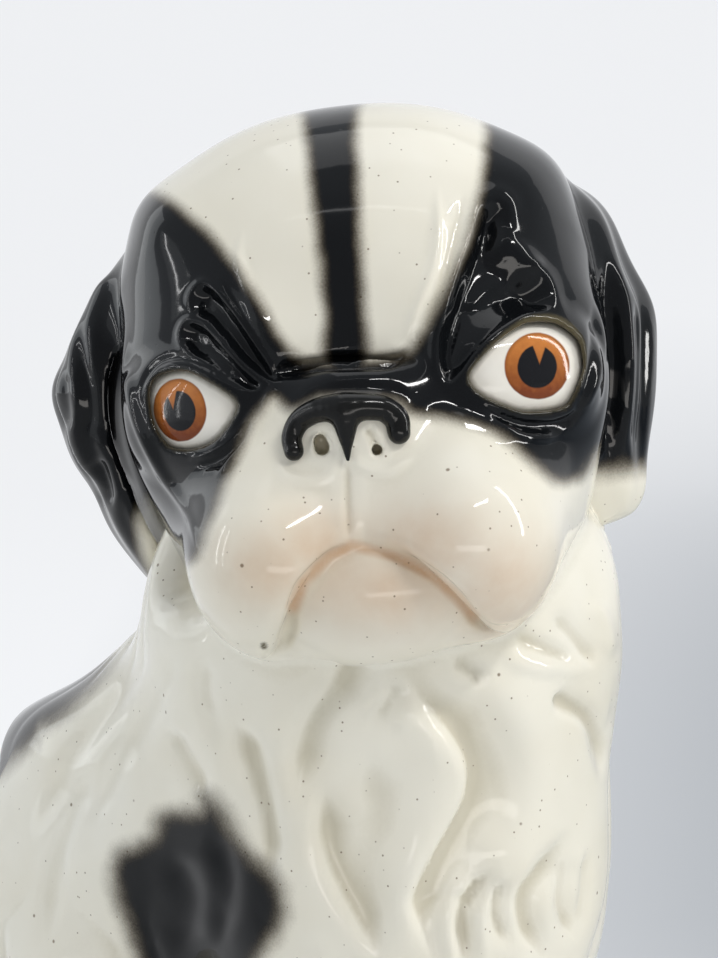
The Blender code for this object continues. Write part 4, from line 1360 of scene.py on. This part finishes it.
# Light
# A room that is paler on the left and dim where the camera stands. A window, a panel and two strips stand
# on the left, a softbox and a bar on the right, a thin strip on top, a low fill in front and a panel
# overhead.
# Each lamp is its name, turn from the view and rise in degrees, distance, size, power and colour.
ROOM_LEFT = (0.52, 0.55, 0.59, 1)
ROOM_RIGHT = (0.36, 0.38, 0.40, 1)
ROOM_FRONT = (0.30, 0.31, 0.33, 1)
room = Finish(bpy.data.worlds.new("studio"), "Background")
bpy.context.scene.world = room.owner
direction = room.node("ShaderNodeTexCoord", output="Generated")
dim_front = ((room.toward(direction, VIEW_BACK) - 0.45) * 2.6).clipped()
rightward = (room.toward(direction, VIEW_RIGHT) * 0.5 + 0.5).clipped()
room_light = room.mix(rightward, ROOM_LEFT, ROOM_RIGHT)
room.set(Color=room.mix(dim_front, room_light, ROOM_FRONT))
LAMPS = (
    ("window", -118.0, 15.0, 1.6, (0.8, 1.2), 3.2, (0.94, 0.98, 1.0)),
    ("panel_left", -78.0, 4.0, 1.3, (0.8, 1.0), 0.9, (0.94, 0.98, 1.0)),
    ("softbox", 86.0, 25.0, 1.1, (0.06, 1.0), 4.2, (1.0, 0.99, 0.97)),
    ("bar_right", 40.0, 46.0, 1.2, (0.45, 0.05), 4.6, (1.0, 0.99, 0.97)),
    ("fill_low", 12.0, -6.0, 1.4, (1.2, 0.2), 3.0, (1.0, 0.96, 0.91)),
    ("strip_top", 0.0, 56.0, 1.2, (1.2, 0.02), 0.3, (1.0, 1.0, 1.0)),
    ("strip_far", -90.0, 8.0, 1.2, (0.02, 0.7), 0.6, (1.0, 1.0, 1.0)),
    ("strip_near", -80.0, 8.0, 1.2, (0.02, 0.7), 0.6, (1.0, 1.0, 1.0)),
    ("overhead", 180.0, 76.0, 1.5, (1.2, 0.9), 3.4, (1.0, 1.0, 1.0)),
)
for name, turn, rise, distance, size, power, colour in LAMPS:
    lamp = bpy.data.lights.new(name, "AREA")
    lamp.shape = "RECTANGLE"
    lamp.size, lamp.size_y = size
    lamp.energy = power
    lamp.color = colour
    item = shown(name, lamp)
    turn = VIEW_TURN + math.radians(turn)
    rise = math.radians(rise)
    away = Vector((math.sin(turn) * math.cos(rise), -math.cos(turn) * math.cos(rise), math.sin(rise)))
    item.location = Vector(HEAD_ORIGIN * MM) + away * distance
    item.rotation_euler = away.to_track_quat("Z", "Y").to_euler()

# Camera
camera = bpy.data.cameras.new("photo_view")
camera.lens = LENS
camera.sensor_width = SENSOR
camera.sensor_fit = "AUTO"
viewer = shown("photo_view", camera)
viewer_axes = np.column_stack([VIEW_RIGHT, VIEW_UP, VIEW_BACK])
viewer.matrix_world = Matrix.Translation(Vector(CAMERA_PLACE * MM)) @ Matrix(viewer_axes.tolist()).to_4x4()
bpy.context.scene.camera = viewer
bpy.context.scene.view_settings.view_transform = "Standard"
